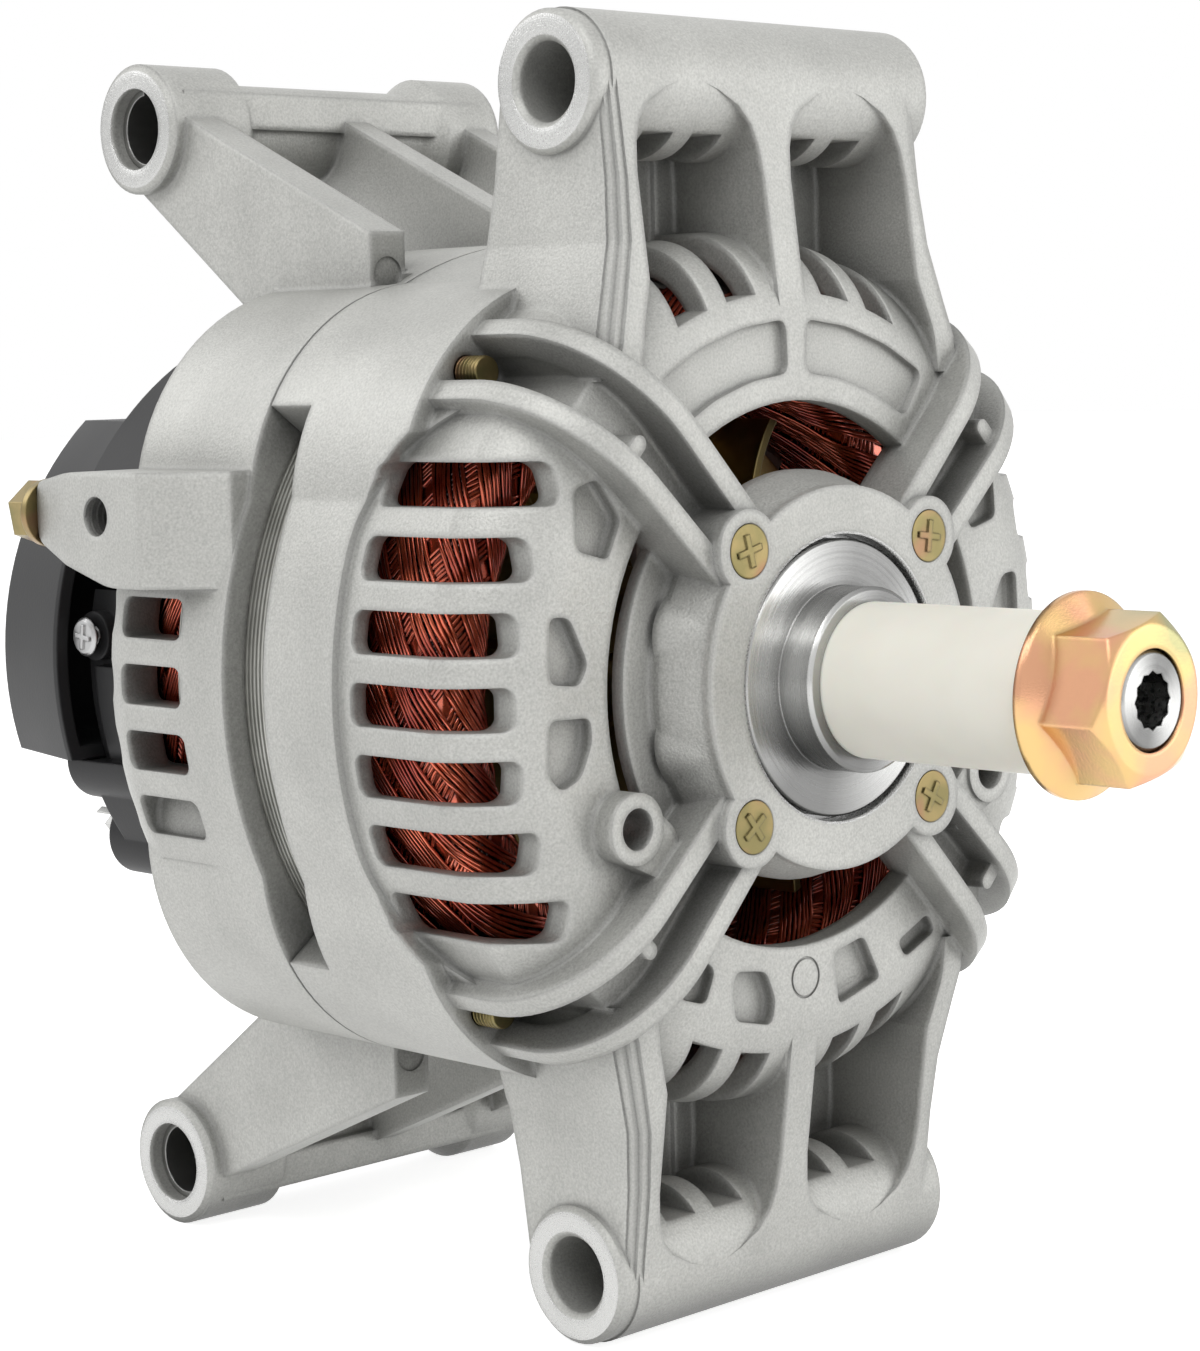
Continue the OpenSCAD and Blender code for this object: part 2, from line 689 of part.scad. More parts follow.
module rear_mount() {
    near_x = rear_tube_x0 + 18;
    far_x = rear_tube_x1 - 13;
    tube(tube_r, rear_tube_x0, near_x + tube_chamfer, rear_tube_y, tube_z, tube_chamfer);
    rod_x(tube_r, far_x, rear_tube_x1, rear_tube_y, tube_z);
    rod_x(tube_r - 3, near_x - 1, far_x + 1, rear_tube_y, tube_z);
    translate([near_x, rear_tube_y, tube_z]) rotate([0, 90, 0])
        cylinder(r1 = tube_r, r2 = tube_r - 4, h = 4);
    translate([far_x, rear_tube_y, tube_z]) rotate([0, -90, 0])
        cylinder(r1 = tube_r, r2 = tube_r - 4, h = 6);
    translate([rear_tube_x0 + 4, rear_tube_y - 10.5, tube_z])
        cube([rear_tube_x1 - rear_tube_x0 - 8, 18, tube_r - 5.3]);
    side_slab(rear_tube_x0 + 3, rear_tube_x0 + 11) rear_web();
    side_slab(4, 10) rear_web();
    side_slab(rear_tube_x1 - 9, rear_tube_x1 - 3) rear_web();
    translate([rear_tube_x0 + 5, 84, 50]) cube([rear_tube_x1 - rear_tube_x0 - 9, 30, 20]);
}

// Ground ear on the left flank
module ear() {
    intersection() {
        translate([0, 0, 10]) linear_extrude(height = 40) polygon([[8.5 - shell_r, 78],
            [3.5 - shell_r, 78], [ear_x, 91], [ear_x, 112], [ear_x + 2, ground_y1],
            [6.5 - shell_r, ground_y1], [14.5 - shell_r, 112]]);
        side_slab(-90, -40) polygon(eased([[70, 17], [70, 36.5], [110, 36.5], [ground_y1, 34.5],
            [ground_y1, 24.5], [112, 20.5], [100, 17]], 2.5));
    }
}

// Cooling slots of the slip ring end shield and the wavy rear edge of their bars
module se_slots() {
    side_z = (slot_count - 1) / 2 * slot_pitch;
    difference() {
        side_slab(-90, 90) {
            for (z = [-side_z:slot_pitch:side_z])
                rounded(89, z - slot_h / 2, 106, z + slot_h / 2, 2);
            rounded(95, 38, 112, 48, 4.5);
        }
        rod_y(slot_inner_r - 4, 80, se_face_y + cut);
    }
    difference() {
        side_slab(-90, 90) {
            translate([se_face_y - 5.5, -48]) square([20, 96]);
            for (z = [-side_z:slot_pitch:side_z]) translate([se_face_y - 5.5, z]) circle(3.86);
        }
        translate([-54, 80, -90]) cube([108, 60, 180]);
    }
}

module slip_ring_end_shield() {
    color("gainsboro") difference() {
        union() {
            difference() {
                union() {
                    difference() {
                        union() {
                            spun() translate([0, split_y + split_gap + se_face_y]) mirror([0, 1])
                                bell_outline(split_y + split_gap, shell_r, se_corner_r, se_face_y);
                            rear_mount();
                            mirror([0, 0, 1]) rear_mount();
                        }
                        se_slots();
                    }
                    ear();
                    slab(split_y + split_gap, lug_y1) for (a = DIAGONALS) rotate(a) lug_plan();
                }
                ring_y(0, core_seat_r, split_y, core_y1);
                spun() translate([0, core_y1 + se_face_y - shell_wall]) mirror([0, 1])
                    bell_outline(core_y1, shell_in_r - 3, se_corner_r - shell_wall,
                        se_face_y - shell_wall);
                slab(se_face_y - shell_wall - cut, se_face_y + cut)
                    for (a = [0:60:300]) sector(se_hub_r + 3, window_r, a + 6, a + 54);
            }
            rod_y(se_hub_r, se_bearing_y - 1, se_bearing_y1 + 1);
            ring_y(se_hub_r - 1, se_hub_r + 4, se_face_y - shell_wall, se_face_y);
        }
        rod_y(se_bearing_r + bearing_sleeve_wall, se_bearing_y - 2, se_bearing_y1);
        rod_y(se_bearing_r - 2, se_bearing_y, se_bearing_y1 + 1 + cut);
        for (a = DIAGONALS) {
            x = bolt_circle_r * cos(a);
            z = bolt_circle_r * sin(a);
            rod_y(bolt_r + hole_gap, split_y - cut, lug_y1 + cut, x, z);
            rod_y(bolt_head_r + hole_gap, bolt_head_y, lug_y1 + 10, x, z);
        }
        for (z = [-tube_z, tube_z])
            rod_x(rear_seat_r, rear_tube_x0 - cut, rear_tube_x1 + cut, rear_tube_y, z);
        rod_x(ear_hole_r, ear_x - cut, ear_x + 12, ear_y, ear_z);
        for (flip = [0, 1], x = [rear_tube_x0 + 7, 7]) mirror([0, 0, flip])
            rod_y(eject_r, 80, 83 + eject_depth, x, tube_z - 29);
        rod_y(3, ground_y1 - 12, ground_y1 + cut, ground_x, ear_z);
        for (a = lead_angles()) rod_y(2.2, se_face_y - 20, se_face_y + cut,
            lead_r() * cos(a), lead_r() * sin(a));
    }
}

// Places of the three stator leads
function lead_angles() = [20, 70, 120];
function lead_r() = 54;

// Stator

module stator_slot_plan(w, r0, r1) {
    for (i = [0:stator_slots - 1]) rotate(i * 360 / stator_slots)
        translate([r0, -w / 2]) square([r1 - r0, w]);
}

module stator_core() {
    color("silver") slab(core_y0, core_y1) difference() {
        circle(core_r);
        circle(core_bore_r);
        stator_slot_plan(stator_slot_w, core_bore_r - 1, core_bore_r + stator_slot_h);
    }
}

module slot_liners() {
    color("ivory") slab(core_y0 - 1, core_y1 + 1) difference() {
        stator_slot_plan(stator_slot_w - 0.1, core_bore_r + 1.2, core_bore_r + stator_slot_h - 0.05);
        stator_slot_plan(stator_slot_w - 0.1 - 2 * liner_t, core_bore_r + 1.2 + liner_t,
            core_bore_r + stator_slot_h - 0.05 - liner_t);
    }
}

// Rounded section of the end turns
module crown_profile(y0, y1) {
    round_r = min(4, (crown_r - crown_bore_r) / 2 - 0.1);
    translate([crown_bore_r + round_r, y0]) square([crown_r - crown_bore_r - 2 * round_r, y1 - y0]);
    translate([crown_bore_r, y0 + round_r]) square([crown_r - crown_bore_r, y1 - y0 - 2 * round_r]);
    for (r = [crown_bore_r + round_r, crown_r - round_r], y = [y0 + round_r, y1 - round_r])
        translate([r, y]) circle(round_r);
}

module stator_winding() {
    gap = 1.2;
    color("firebrick") {
        spun() crown_profile(core_y0 - crown_front, core_y0 - gap);
        spun() crown_profile(core_y1 + gap, core_y1 + crown_rear);
        slab(core_y0 - 6, core_y1 + 6)
            stator_slot_plan(stator_slot_w - 0.2 - 2 * liner_t, core_bore_r + 1.3 + liner_t,
                core_bore_r + stator_slot_h - 0.1 - liner_t);
    }
}

module stator_leads() {
    color("firebrick") for (a = lead_angles())
        rod_y(1.6, core_y1 + crown_rear, pos_plate_y, lead_r() * cos(a), lead_r() * sin(a));
}

// Fasteners of the housing

module through_bolts() {
    color("goldenrod") for (a = DIAGONALS) {
        x = bolt_circle_r * cos(a);
        z = bolt_circle_r * sin(a);
        difference() {
            union() {
                rod_y(bolt_r, bolt_y0, bolt_head_y + 1, x, z);
                rod_y(bolt_head_r, bolt_head_y, bolt_head_y + 5, x, z);
            }
            hex_y(4, bolt_head_y + 2, bolt_head_y + 5 + cut, x, z, a);
        }
    }
}

module bearing_retainer() {
    color("silver") slab(de_bearing_y1, de_bearing_y1 + retainer_t) difference() {
        union() {
            circle(retainer_pcr - 1);
            for (a = DIAGONALS) at_polar(retainer_pcr, a) circle(5.5);
        }
        circle(de_bearing_r - 6);
        for (a = DIAGONALS) at_polar(retainer_pcr, a) circle(screw_r + fit);
    }
}

module retainer_screws() {
    color("goldenrod") for (a = DIAGONALS) {
        x = retainer_pcr * cos(a);
        z = retainer_pcr * sin(a);
        rod_y(screw_r, hub_face_y + 1, de_bearing_y1 + retainer_t + 1, x, z);
        translate([x, hub_face_y, z]) rotate([-90, 0, 0])
            cylinder(r1 = screw_head_r, r2 = screw_r, h = 2.4);
    }
}

// Ball bearings

// Race ring between two radii, with its groove
module race(r0, r1, y0, w, pitch_r, groove_r) {
    spun() difference() {
        translate([r0, y0]) square([r1 - r0, w]);
        translate([pitch_r, y0 + w / 2]) circle(groove_r);
    }
}

// Ring of balls, or of the pockets that hold them
module ball_ring(pitch_r, count, r, y) {
    for (i = [0:count - 1]) rotate([0, i * 360 / count, 0]) translate([pitch_r, y, 0]) sphere(r);
}

module cage(pitch_r, count, ball_r, y) {
    difference() {
        ring_y(pitch_r - ball_r * 0.34, pitch_r + ball_r * 0.34, y - ball_r * 0.8, y + ball_r * 0.8);
        ball_ring(pitch_r, count, ball_r + fit, y);
    }
}

// Pair of sealing rings
module seals(r0, r1, y0, w) {
    ring_y(r0, r1, y0 + 0.3, y0 + 1.3);
    ring_y(r0, r1, y0 + w - 1.3, y0 + w - 0.3);
}

module front_bearing_outer_race() {
    color("silver") race(de_pitch_r + 3.6, de_bearing_r, de_bearing_y, de_bearing_w, de_pitch_r,
        de_ball_r + 0.3);
}

module front_bearing_inner_race() {
    color("silver") race(de_bearing_bore_r + 0.01, de_pitch_r - 3.6, de_bearing_y, de_bearing_w,
        de_pitch_r, de_ball_r + 0.3);
}

module front_bearing_seals() {
    color("dimgray") seals(de_pitch_r - 3.2, de_pitch_r + 3.6, de_bearing_y, de_bearing_w);
}

module front_bearing_cage() {
    color("burlywood") cage(de_pitch_r, de_balls, de_ball_r, de_bearing_y + de_bearing_w / 2);
}

module front_bearing_balls() {
    color("white") ball_ring(de_pitch_r, de_balls, de_ball_r, de_bearing_y + de_bearing_w / 2);
}

module rear_bearing_outer_race() {
    color("silver") race(se_pitch_r + 2.2, se_bearing_r, se_bearing_y, se_bearing_w, se_pitch_r,
        se_ball_r + 0.3);
}

module rear_bearing_inner_race() {
    color("silver") race(se_bearing_bore_r + 0.01, se_pitch_r - 2.2, se_bearing_y, se_bearing_w,
        se_pitch_r, se_ball_r + 0.3);
}

module rear_bearing_seals() {
    color("dimgray") seals(se_pitch_r - 1.8, se_pitch_r + 2.2, se_bearing_y, se_bearing_w);
}

module rear_bearing_cage() {
    color("burlywood") cage(se_pitch_r, se_balls, se_ball_r, se_bearing_y + se_bearing_w / 2);
}

module rear_bearing_balls() {
    color("white") ball_ring(se_pitch_r, se_balls, se_ball_r, se_bearing_y + se_bearing_w / 2);
}

module rear_bearing_sleeve() {
    color("dimgray") ring_y(se_bearing_r + 0.01, se_bearing_r + bearing_sleeve_wall - 0.01,
        se_bearing_y, se_bearing_y1);
}

// Slide bushings in the rear mount tubes

module slide_bushing(z) {
    x0 = rear_tube_x0 + bushing_inset;
    color("darkgray") difference() {
        rod_x(rear_seat_r - 0.01, x0, x0 + bushing_len, rear_tube_y, z);
        rod_x(bushing_bore_r, x0 - cut, x0 + bushing_len + cut, rear_tube_y, z);
        translate([x0 - cut, rear_tube_y - 0.6, z]) cube([bushing_len + 2 * cut, 1.2, 20]);
    }
}

module upper_slide_bushing() {
    slide_bushing(tube_z);
}

module lower_slide_bushing() {
    slide_bushing(-tube_z);
}

// Rectifier

module heat_sink_plan(clear_r) {
    difference() {
        sector(plate_r0, plate_r1, plate_a0, plate_a1);
        for (a = lead_angles()) at_polar(lead_r(), a) circle(clear_r);
    }
}

module negative_heat_sink() {
    color("silver") slab(neg_plate_y, neg_plate_y + plate_t) heat_sink_plan(2.6);
}

module positive_heat_sink() {
    color("silver") slab(pos_plate_y, pos_plate_y + plate_t) difference() {
        sector(plate_r0, plate_r1 - 7, plate_a0, plate_a1);
        at_polar(stud_circle_r, stud_angle) circle(stud_r + fit);
    }
}

module diode(a, y0, y1) {
    x = diode_circle_r * cos(a);
    z = diode_circle_r * sin(a);
    rod_y(diode_r, y0, y1, x, z);
}

module negative_diodes() {
    y0 = neg_plate_y + plate_t;
    color("dimgray") for (a = [8, 58, 108]) {
        diode(a, y0, y0 + 3.5);
        rod_y(0.9, y0 + 3, pos_plate_y, diode_circle_r * cos(a), diode_circle_r * sin(a));
    }
}

module positive_diodes() {
    y0 = pos_plate_y - 3.5;
    color("dimgray") for (a = [33, 83, 133]) {
        diode(a, y0, pos_plate_y);
        rod_y(0.9, neg_plate_y + plate_t, y0 + 0.5, diode_circle_r * cos(a), diode_circle_r * sin(a));
    }
}

module terminal_carrier() {
    color("dimgray") difference() {
        slab(neg_plate_y + plate_t, pos_plate_y) sector(49, plate_r1, 0, 140);
        for (a = lead_angles()) rod_y(1.8, neg_plate_y, pos_plate_y + cut,
            lead_r() * cos(a), lead_r() * sin(a));
        for (a = cover_screw_angles()) rod_y(screw_r + fit, neg_plate_y, pos_plate_y + cut,
            cover_screw_circle_r * cos(a), cover_screw_circle_r * sin(a));
    }
}

module output_stud() {
    x = stud_circle_r * cos(stud_angle);
    z = stud_circle_r * sin(stud_angle);
    color("goldenrod") {
        rod_y(stud_r, pos_plate_y - 1, stud_y1, x, z);
        hex_y(12, pos_plate_y - 3.5, pos_plate_y, x, z, stud_angle);
    }
}

module output_nut() {
    x = stud_circle_r * cos(stud_angle);
    z = stud_circle_r * sin(stud_angle);
    color("goldenrod") difference() {
        union() {
            hex_y(13, cover_dome_y + 1, cover_dome_y + 7.5, x, z, stud_angle);
            rod_y(8.5, cover_dome_y, cover_dome_y + 1.5, x, z);
        }
        rod_y(stud_r + fit, cover_dome_y - cut, cover_dome_y + 9, x, z);
    }
}

// Regulator and brush gear

// Front view of the lobes round the regulator's rim
module regulator_lobes() {
    for (a = [200, 219, 239]) at_polar(regulator_r - 6, a) circle(7.5);
}

// Moulding of the regulator with its lobed rim and the arm that carries the side terminal
module regulator_body() {
    color("dimgray") difference() {
        union() {
            difference() {
                union() {
                    slab(se_face_y, regulator_y1) sector(34, regulator_r - 5, 198, 262);
                    slab(se_face_y, regulator_y1 - 8) sector(34, regulator_r, 198, 262);
                    slab(se_face_y + 4, regulator_y1 - 3) regulator_lobes();
                }
                translate([-90, se_face_y - cut, bulge_z0 - 0.3]) cube([90, 60, 60]);
            }
            slab(se_face_y, cover_dome_y - 1.7) sector(49, regulator_r - 3, 166, 205);
            slab(se_face_y, cover_dome_y - 6) sector(49, regulator_r - 1, 180, 205);
            rod_x(4.5, -regulator_r + 1, -50, side_screw_y, side_screw_z);
        }
        translate([-10 - fit, se_face_y - cut, -70]) cube([40, 60, 70]);
        for (a = [reg_screw_a0, reg_screw_a1]) rod_y(reg_screw_r + fit, regulator_y1 - 12,
            regulator_y1 + cut, reg_screw_circle_r * cos(a), reg_screw_circle_r * sin(a));
        rod_x(reg_screw_r + fit, -regulator_r, -50 + fit, side_screw_y, side_screw_z);
    }
}

module regulator_heat_sink() {
    y0 = regulator_y1;
    color("silver") difference() {
        union() {
            slab(y0, y0 + 2) sector(36, 54, 203, 251);
            slab(y0, y0 + 7) intersection() {
                sector(36, 54, 214, 240);
                for (i = [0:5]) rotate(45) translate([-60, -12 + i * 4.4]) square([60, 1.6]);
            }
        }
        for (a = [reg_screw_a0, reg_screw_a1]) rod_y(reg_screw_r + hole_gap, y0 - cut, y0 + 9,
            reg_screw_circle_r * cos(a), reg_screw_circle_r * sin(a));
        translate([-70, y0 - cut, bulge_z0 - 0.3]) cube([70, 12, 40]);
    }
}

// Two screws in the heat sink and one in the side terminal, which points to the left
module regulator_screws() {
    color("silver") {
        for (a = [reg_screw_a0, reg_screw_a1]) {
            x = reg_screw_circle_r * cos(a);
            z = reg_screw_circle_r * sin(a);
            rod_y(reg_screw_r, regulator_y1 - 10, regulator_y1 + 3, x, z);
            rod_y(reg_screw_head_r, regulator_y1 + 2, regulator_y1 + 4.5, x, z);
        }
        rod_x(reg_screw_r, -regulator_r, -51, side_screw_y, side_screw_z);
        rod_x(reg_screw_head_r, -regulator_r - 1.5, -regulator_r + 1, side_screw_y, side_screw_z);
    }
}

// Box with a guide well for each brush, open towards the slip rings
module brush_holder() {
    color("dimgray") difference() {
        translate([-10, holder_y0, holder_floor_z - 3])
            cube([20, holder_y1 - holder_y0, brush_floor_z - holder_floor_z + 1.5]);
        for (y = [inner_ring_y, outer_ring_y])
            translate([-brush_w / 2 - 0.1, y + ring_w / 2 - brush_t / 2 - 0.1, holder_floor_z])
                cube([brush_w + 0.2, brush_t + 0.2, 40]);
    }
}

module brush(ring_y0) {
    color("dimgray") difference() {
        translate([-brush_w / 2, ring_y0 + ring_w / 2 - brush_t / 2, spring_top_z])
            cube([brush_w, brush_t, brush_len + 1]);
        rod_y(ring_r + brush_gap, ring_y0 - 1, ring_y0 + ring_w + 1);
    }
}

module inner_brush() {
    brush(inner_ring_y);
}

module outer_brush() {
    brush(outer_ring_y);
}

// Points of one ring of the spring's wire at turn angle t
function coil_ring(t, coil_r0, rise) = [for (k = [0:5])
    let (q = coil_r0 + spring_wire_r * cos(k * 60))
    [q * cos(t), q * sin(t), rise * t / 360 + spring_wire_r * sin(k * 60)]];

module brush_spring(ring_y0) {
    coil_r0 = min(brush_w, brush_t) / 2 - spring_wire_r - 0.3;
    rise = (spring_len - 2 * spring_wire_r - 0.1) / spring_turns;
    rings = spring_turns * 12;
    points = [for (i = [0:rings]) each coil_ring(i * 30, coil_r0, rise)];
    sides = [for (i = [0:rings - 1], k = [0:5])
        [i * 6 + k, i * 6 + (k + 1) % 6, i * 6 + 6 + (k + 1) % 6, i * 6 + 6 + k]];
    ends = [[5, 4, 3, 2, 1, 0], [for (k = [0:5]) rings * 6 + k]];
    color("silver") translate([0, ring_y0 + ring_w / 2, holder_floor_z + spring_wire_r + 0.05])
        polyhedron(points = points, faces = concat(sides, ends));
}

module inner_brush_spring() {
    brush_spring(inner_ring_y);
}

module outer_brush_spring() {
    brush_spring(outer_ring_y);
}

// Rear cover

// Rear view of the cover, less the corner where the regulator sits
module cover_plan(r, inset) {
    difference() {
        circle(r);
        translate([-90, -90]) square([120 + inset, 90 + bulge_z0 + inset]);
    }
}

// Tapered bulge over the slip rings
module cover_bulge(inset) {
    intersection() {
        spun() polygon([[0, cover_dome_y - 5], [cover_r - inset, cover_dome_y - 5],
            [cover_r - inset, cover_dome_y], [cover_bulge_r - inset, cover_bulge_y - inset],
            [0, cover_bulge_y - inset]]);
        translate([-90, 0, bulge_z0 + inset])
            cube([90 + bulge_x1 - inset, 200, bulge_z1 - bulge_z0 - 2 * inset]);
    }
}

module rear_cover() {
    color("dimgray") difference() {
        union() {
            slab(cover_y0, cover_dome_y) cover_plan(cover_r, 0);
            cover_bulge(0);
        }
        slab(cover_y0 - cut, cover_dome_y - cover_wall) cover_plan(cover_r - cover_wall, cover_wall);
        cover_bulge(cover_wall);
        rod_y(se_hub_r + 1, cover_y0 - cut, se_bearing_y1 + 2);
        translate([-90, cover_y0 - cut, -30]) cube([45, cover_dome_y - cover_y0 - 0.2, 64]);
        translate([-10.5, holder_y0 - 0.5, bulge_z0 - cut])
            cube([21, holder_y1 - holder_y0 + 1, cover_wall + 2 * cut]);
        rod_y(stud_r + 1, cover_dome_y - 5, cover_dome_y + cut,
            stud_circle_r * cos(stud_angle), stud_circle_r * sin(stud_angle));
        for (a = cover_screw_angles()) rod_y(screw_r + hole_gap, cover_dome_y - 5,
            cover_dome_y + cut, cover_screw_circle_r * cos(a), cover_screw_circle_r * sin(a));
        for (i = [0:5]) translate([26 + i * 4.6, cover_dome_y - 5, 8]) cube([2.6, 7, 26]);
    }
}

function cover_screw_angles() = [-28, 62, 100];

module cover_screws() {
    color("silver") for (a = cover_screw_angles()) {
        x = cover_screw_circle_r * cos(a);
        z = cover_screw_circle_r * sin(a);
        rod_y(screw_r, neg_plate_y + plate_t, cover_dome_y + 1, x, z);
        rod_y(cover_screw_head_r, cover_dome_y, cover_dome_y + 3, x, z);
    }
}

module ground_bolt() {
    color("goldenrod") {
        rod_y(2.95, ground_y1 - 10, ground_y1 + 1, ground_x, ear_z);
        rod_y(6, ground_y1, ground_y1 + 1.5, ground_x, ear_z);
        hex_y(10, ground_y1 + 1, ground_y1 + 6, ground_x, ear_z, 20);
    }
}

// Rotor

module rotor_shaft() {
    y_bearing = de_bearing_y;
    y_shoulder = de_bearing_y1 + 0.5;
    color("silver") difference() {
        spun() polygon([
            [0, shaft_y0], [thread_r - 0.8, shaft_y0], [thread_r, shaft_y0 + 0.8],
            [thread_r, -36], [seat_r, -35.5], [seat_r, y_bearing],
            [de_bearing_bore_r, y_bearing], [de_bearing_bore_r, de_bearing_y1],
            [rotor_seat_r + 1.5, y_shoulder - 0.5], [rotor_seat_r + 1.5, y_shoulder + 4],
            [rotor_seat_r, y_shoulder + 4], [rotor_seat_r, pole_y1 + 4],
            [se_bearing_bore_r + 1.5, pole_y1 + 4], [se_bearing_bore_r + 1.5, se_bearing_y],
            [se_bearing_bore_r, se_bearing_y], [se_bearing_bore_r, shaft_y1 - 1],
            [se_bearing_bore_r - 1, shaft_y1], [0, shaft_y1]]);
        for (turn = [0, 30]) hex_y(8, shaft_y0 - cut, shaft_y0 + 11, turn = turn);
    }
}

// One claw, drawn pointing to +Y from the disc at y0, at the angle of +X
module claw(y0, len) {
    root = y0 + pole_disc;
    intersection() {
        rod_y(rotor_r, y0 - cut, y0 + len + cut);
        translate([0, 0, -claw_root_w]) linear_extrude(height = 2 * claw_root_w)
            polygon([[20, y0], [rotor_r - 3, y0], [rotor_r + 1, y0 + 4], [rotor_r + 1, y0 + len],
                [rotor_r - 4, y0 + len], [rotor_r - 11, root], [20, root]]);
        translate([10, 0, 0]) rotate([90, 0, 90]) linear_extrude(height = rotor_r)
            polygon([[y0, -claw_root_w / 2], [root, -claw_root_w / 2], [y0 + len, -claw_tip_w / 2],
                [y0 + len, claw_tip_w / 2], [root, claw_root_w / 2], [y0, claw_root_w / 2]]);
    }
}

module claw_pole(y0, len, turn) {
    difference() {
        union() {
            rod_y(rotor_r - 14, y0, y0 + pole_disc);
            rod_y(18, y0 + pole_disc - cut, (pole_y0 + pole_y1) / 2);
            for (i = [0:claws - 1]) rotate([0, turn + i * 360 / claws, 0]) claw(y0, len);
        }
        rod_y(rotor_seat_r + 0.01, y0 - cut, pole_y1 + cut);
    }
}

module front_claw_pole() {
    color("gray") claw_pole(pole_y0, pole_y1 - pole_y0 - 8, 0);
}

module rear_claw_pole() {
    color("gray") translate([0, pole_y0 + pole_y1, 0]) rotate([0, 0, 180])
        claw_pole(pole_y0, pole_y1 - pole_y0 - 8, 180 / claws);
}

module coil_bobbin() {
    color("black") {
        ring_y(18.05, 19.5, coil_y0 - 0.9, coil_y1 + 0.9);
        ring_y(18.05, coil_r, coil_y0 - 0.9, coil_y0 + 0.6);
        ring_y(18.05, coil_r, coil_y1 - 0.6, coil_y1 + 0.9);
    }
}

module field_coil() {
    color("firebrick") ring_y(19.5, coil_r - 0.5, coil_y0 + 0.6, coil_y1 - 0.6);
}

// One curved fan blade standing on the disc, in the front view
module blade_plan(r0, r1) {
    bend_r = 26;
    intersection() {
        difference() {
            translate([r0 + 8, -bend_r]) circle(bend_r + fan_gauge);
            translate([r0 + 8, -bend_r]) circle(bend_r);
        }
        sector(r0, r1, -40, 12);
    }
}

module fan(r, disc_y, blade_y0, blade_y1) {
    difference() {
        union() {
            slab(disc_y, disc_y + fan_gauge) circle(r);
            slab(blade_y0, blade_y1) for (i = [0:fan_blades - 1])
                rotate(i * 360 / fan_blades + 4 * (i % 3)) blade_plan(27, r - 0.5);
        }
        rod_y(rotor_seat_r + 0.01, disc_y - cut, disc_y + fan_gauge + cut);
    }
}

module front_fan() {
    disc_y = pole_y0 - fan_gauge;
    color("goldenrod") fan(front_fan_r, disc_y, disc_y - front_blade_h, disc_y + 0.2);
}

module rear_fan() {
    color("goldenrod") fan(rear_fan_r, pole_y1, pole_y1 + fan_gauge - 0.2,
        pole_y1 + fan_gauge + rear_blade_h);
}

module slip_ring_carrier() {
    color("black") {
        ring_y(se_bearing_bore_r + 0.01, ring_r - 2.5, se_bearing_y1 + 1.5,
            outer_ring_y + ring_w + 2);
        ring_y(ring_r - 3, ring_r, inner_ring_y + ring_w, outer_ring_y);
    }
}

module inner_slip_ring() {
    color("peru") ring_y(ring_r - 2.5, ring_r, inner_ring_y, inner_ring_y + ring_w);
}

module outer_slip_ring() {
    color("peru") ring_y(ring_r - 2.5, ring_r, outer_ring_y, outer_ring_y + ring_w);
}

module shaft_collar() {
    color("silver") spun() polygon([[seat_r + 0.01, 0], [collar_boss_r - 0.6, 0],
        [collar_boss_r, 0.6], [collar_boss_r, collar_flange_y],
        [collar_flange_r - 0.4, collar_flange_y], [collar_flange_r, collar_flange_y + 0.4],
        [collar_flange_r, de_bearing_y - 0.8], [de_bearing_bore_r + 3.5, de_bearing_y - 0.8],
        [de_bearing_bore_r + 3.5, de_bearing_y], [seat_r + 0.01, de_bearing_y]]);
}

module shipping_sleeve() {
    color("ivory") ring_y(seat_r + 0.3, sleeve_r, nut_seat_y, 0);
}

module shaft_nut() {
    color("rosybrown") difference() {
        union() {
            intersection() {
                hex_y(nut_af, shaft_y0, nut_seat_y, turn = nut_turn);
                spun() polygon([[0, shaft_y0], [nut_af / 2 - 0.4, shaft_y0],
                    [nut_af / 2 + 2, shaft_y0 + 1.6], [nut_af / 2 + 2, nut_seat_y],
                    [0, nut_seat_y]]);
            }
            spun() polygon([[0, nut_seat_y - 3.6], [nut_af / 2, nut_seat_y - 3.6],
                [nut_flange_r, nut_seat_y - 1.2], [nut_flange_r, nut_seat_y], [0, nut_seat_y]]);
        }
        rod_y(thread_r + 0.02, shaft_y0 - cut, nut_seat_y + cut);
    }
}

drive_end_shield();
slip_ring_end_shield();
stator_core();
stator_winding();
slot_liners();
stator_leads();
through_bolts();
bearing_retainer();
retainer_screws();
front_bearing_outer_race();
front_bearing_seals();
rear_bearing_outer_race();
rear_bearing_seals();
rear_bearing_sleeve();
upper_slide_bushing();
lower_slide_bushing();
negative_heat_sink();
positive_heat_sink();
negative_diodes();
positive_diodes();
terminal_carrier();
output_stud();
output_nut();
regulator_body();
regulator_heat_sink();
regulator_screws();
brush_holder();
rear_cover();
cover_screws();
ground_bolt();
rotor_shaft();
front_claw_pole();
rear_claw_pole();
field_coil();
coil_bobbin();
front_fan();
rear_fan();
slip_ring_carrier();
inner_slip_ring();
outer_slip_ring();
shaft_collar();
shipping_sleeve();
shaft_nut();
front_bearing_inner_race();
rear_bearing_inner_race();
front_bearing_cage();
front_bearing_balls();
rear_bearing_cage();
rear_bearing_balls();
inner_brush();
outer_brush();
inner_brush_spring();
outer_brush_spring();
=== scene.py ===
"""Dresses a heavy-duty vehicle alternator over its CAD frame, in a pale studio.

Everything is in metres in the frame's own axes: the shaft lies along Y with its nut
towards -Y, the mount tubes lie along X and +Z is up. Sizes in the classes are in
millimetres, as on a drawing.
"""

import json
import logging
import math
import random
from abc import ABC, abstractmethod
from dataclasses import dataclass, field
from enum import Enum

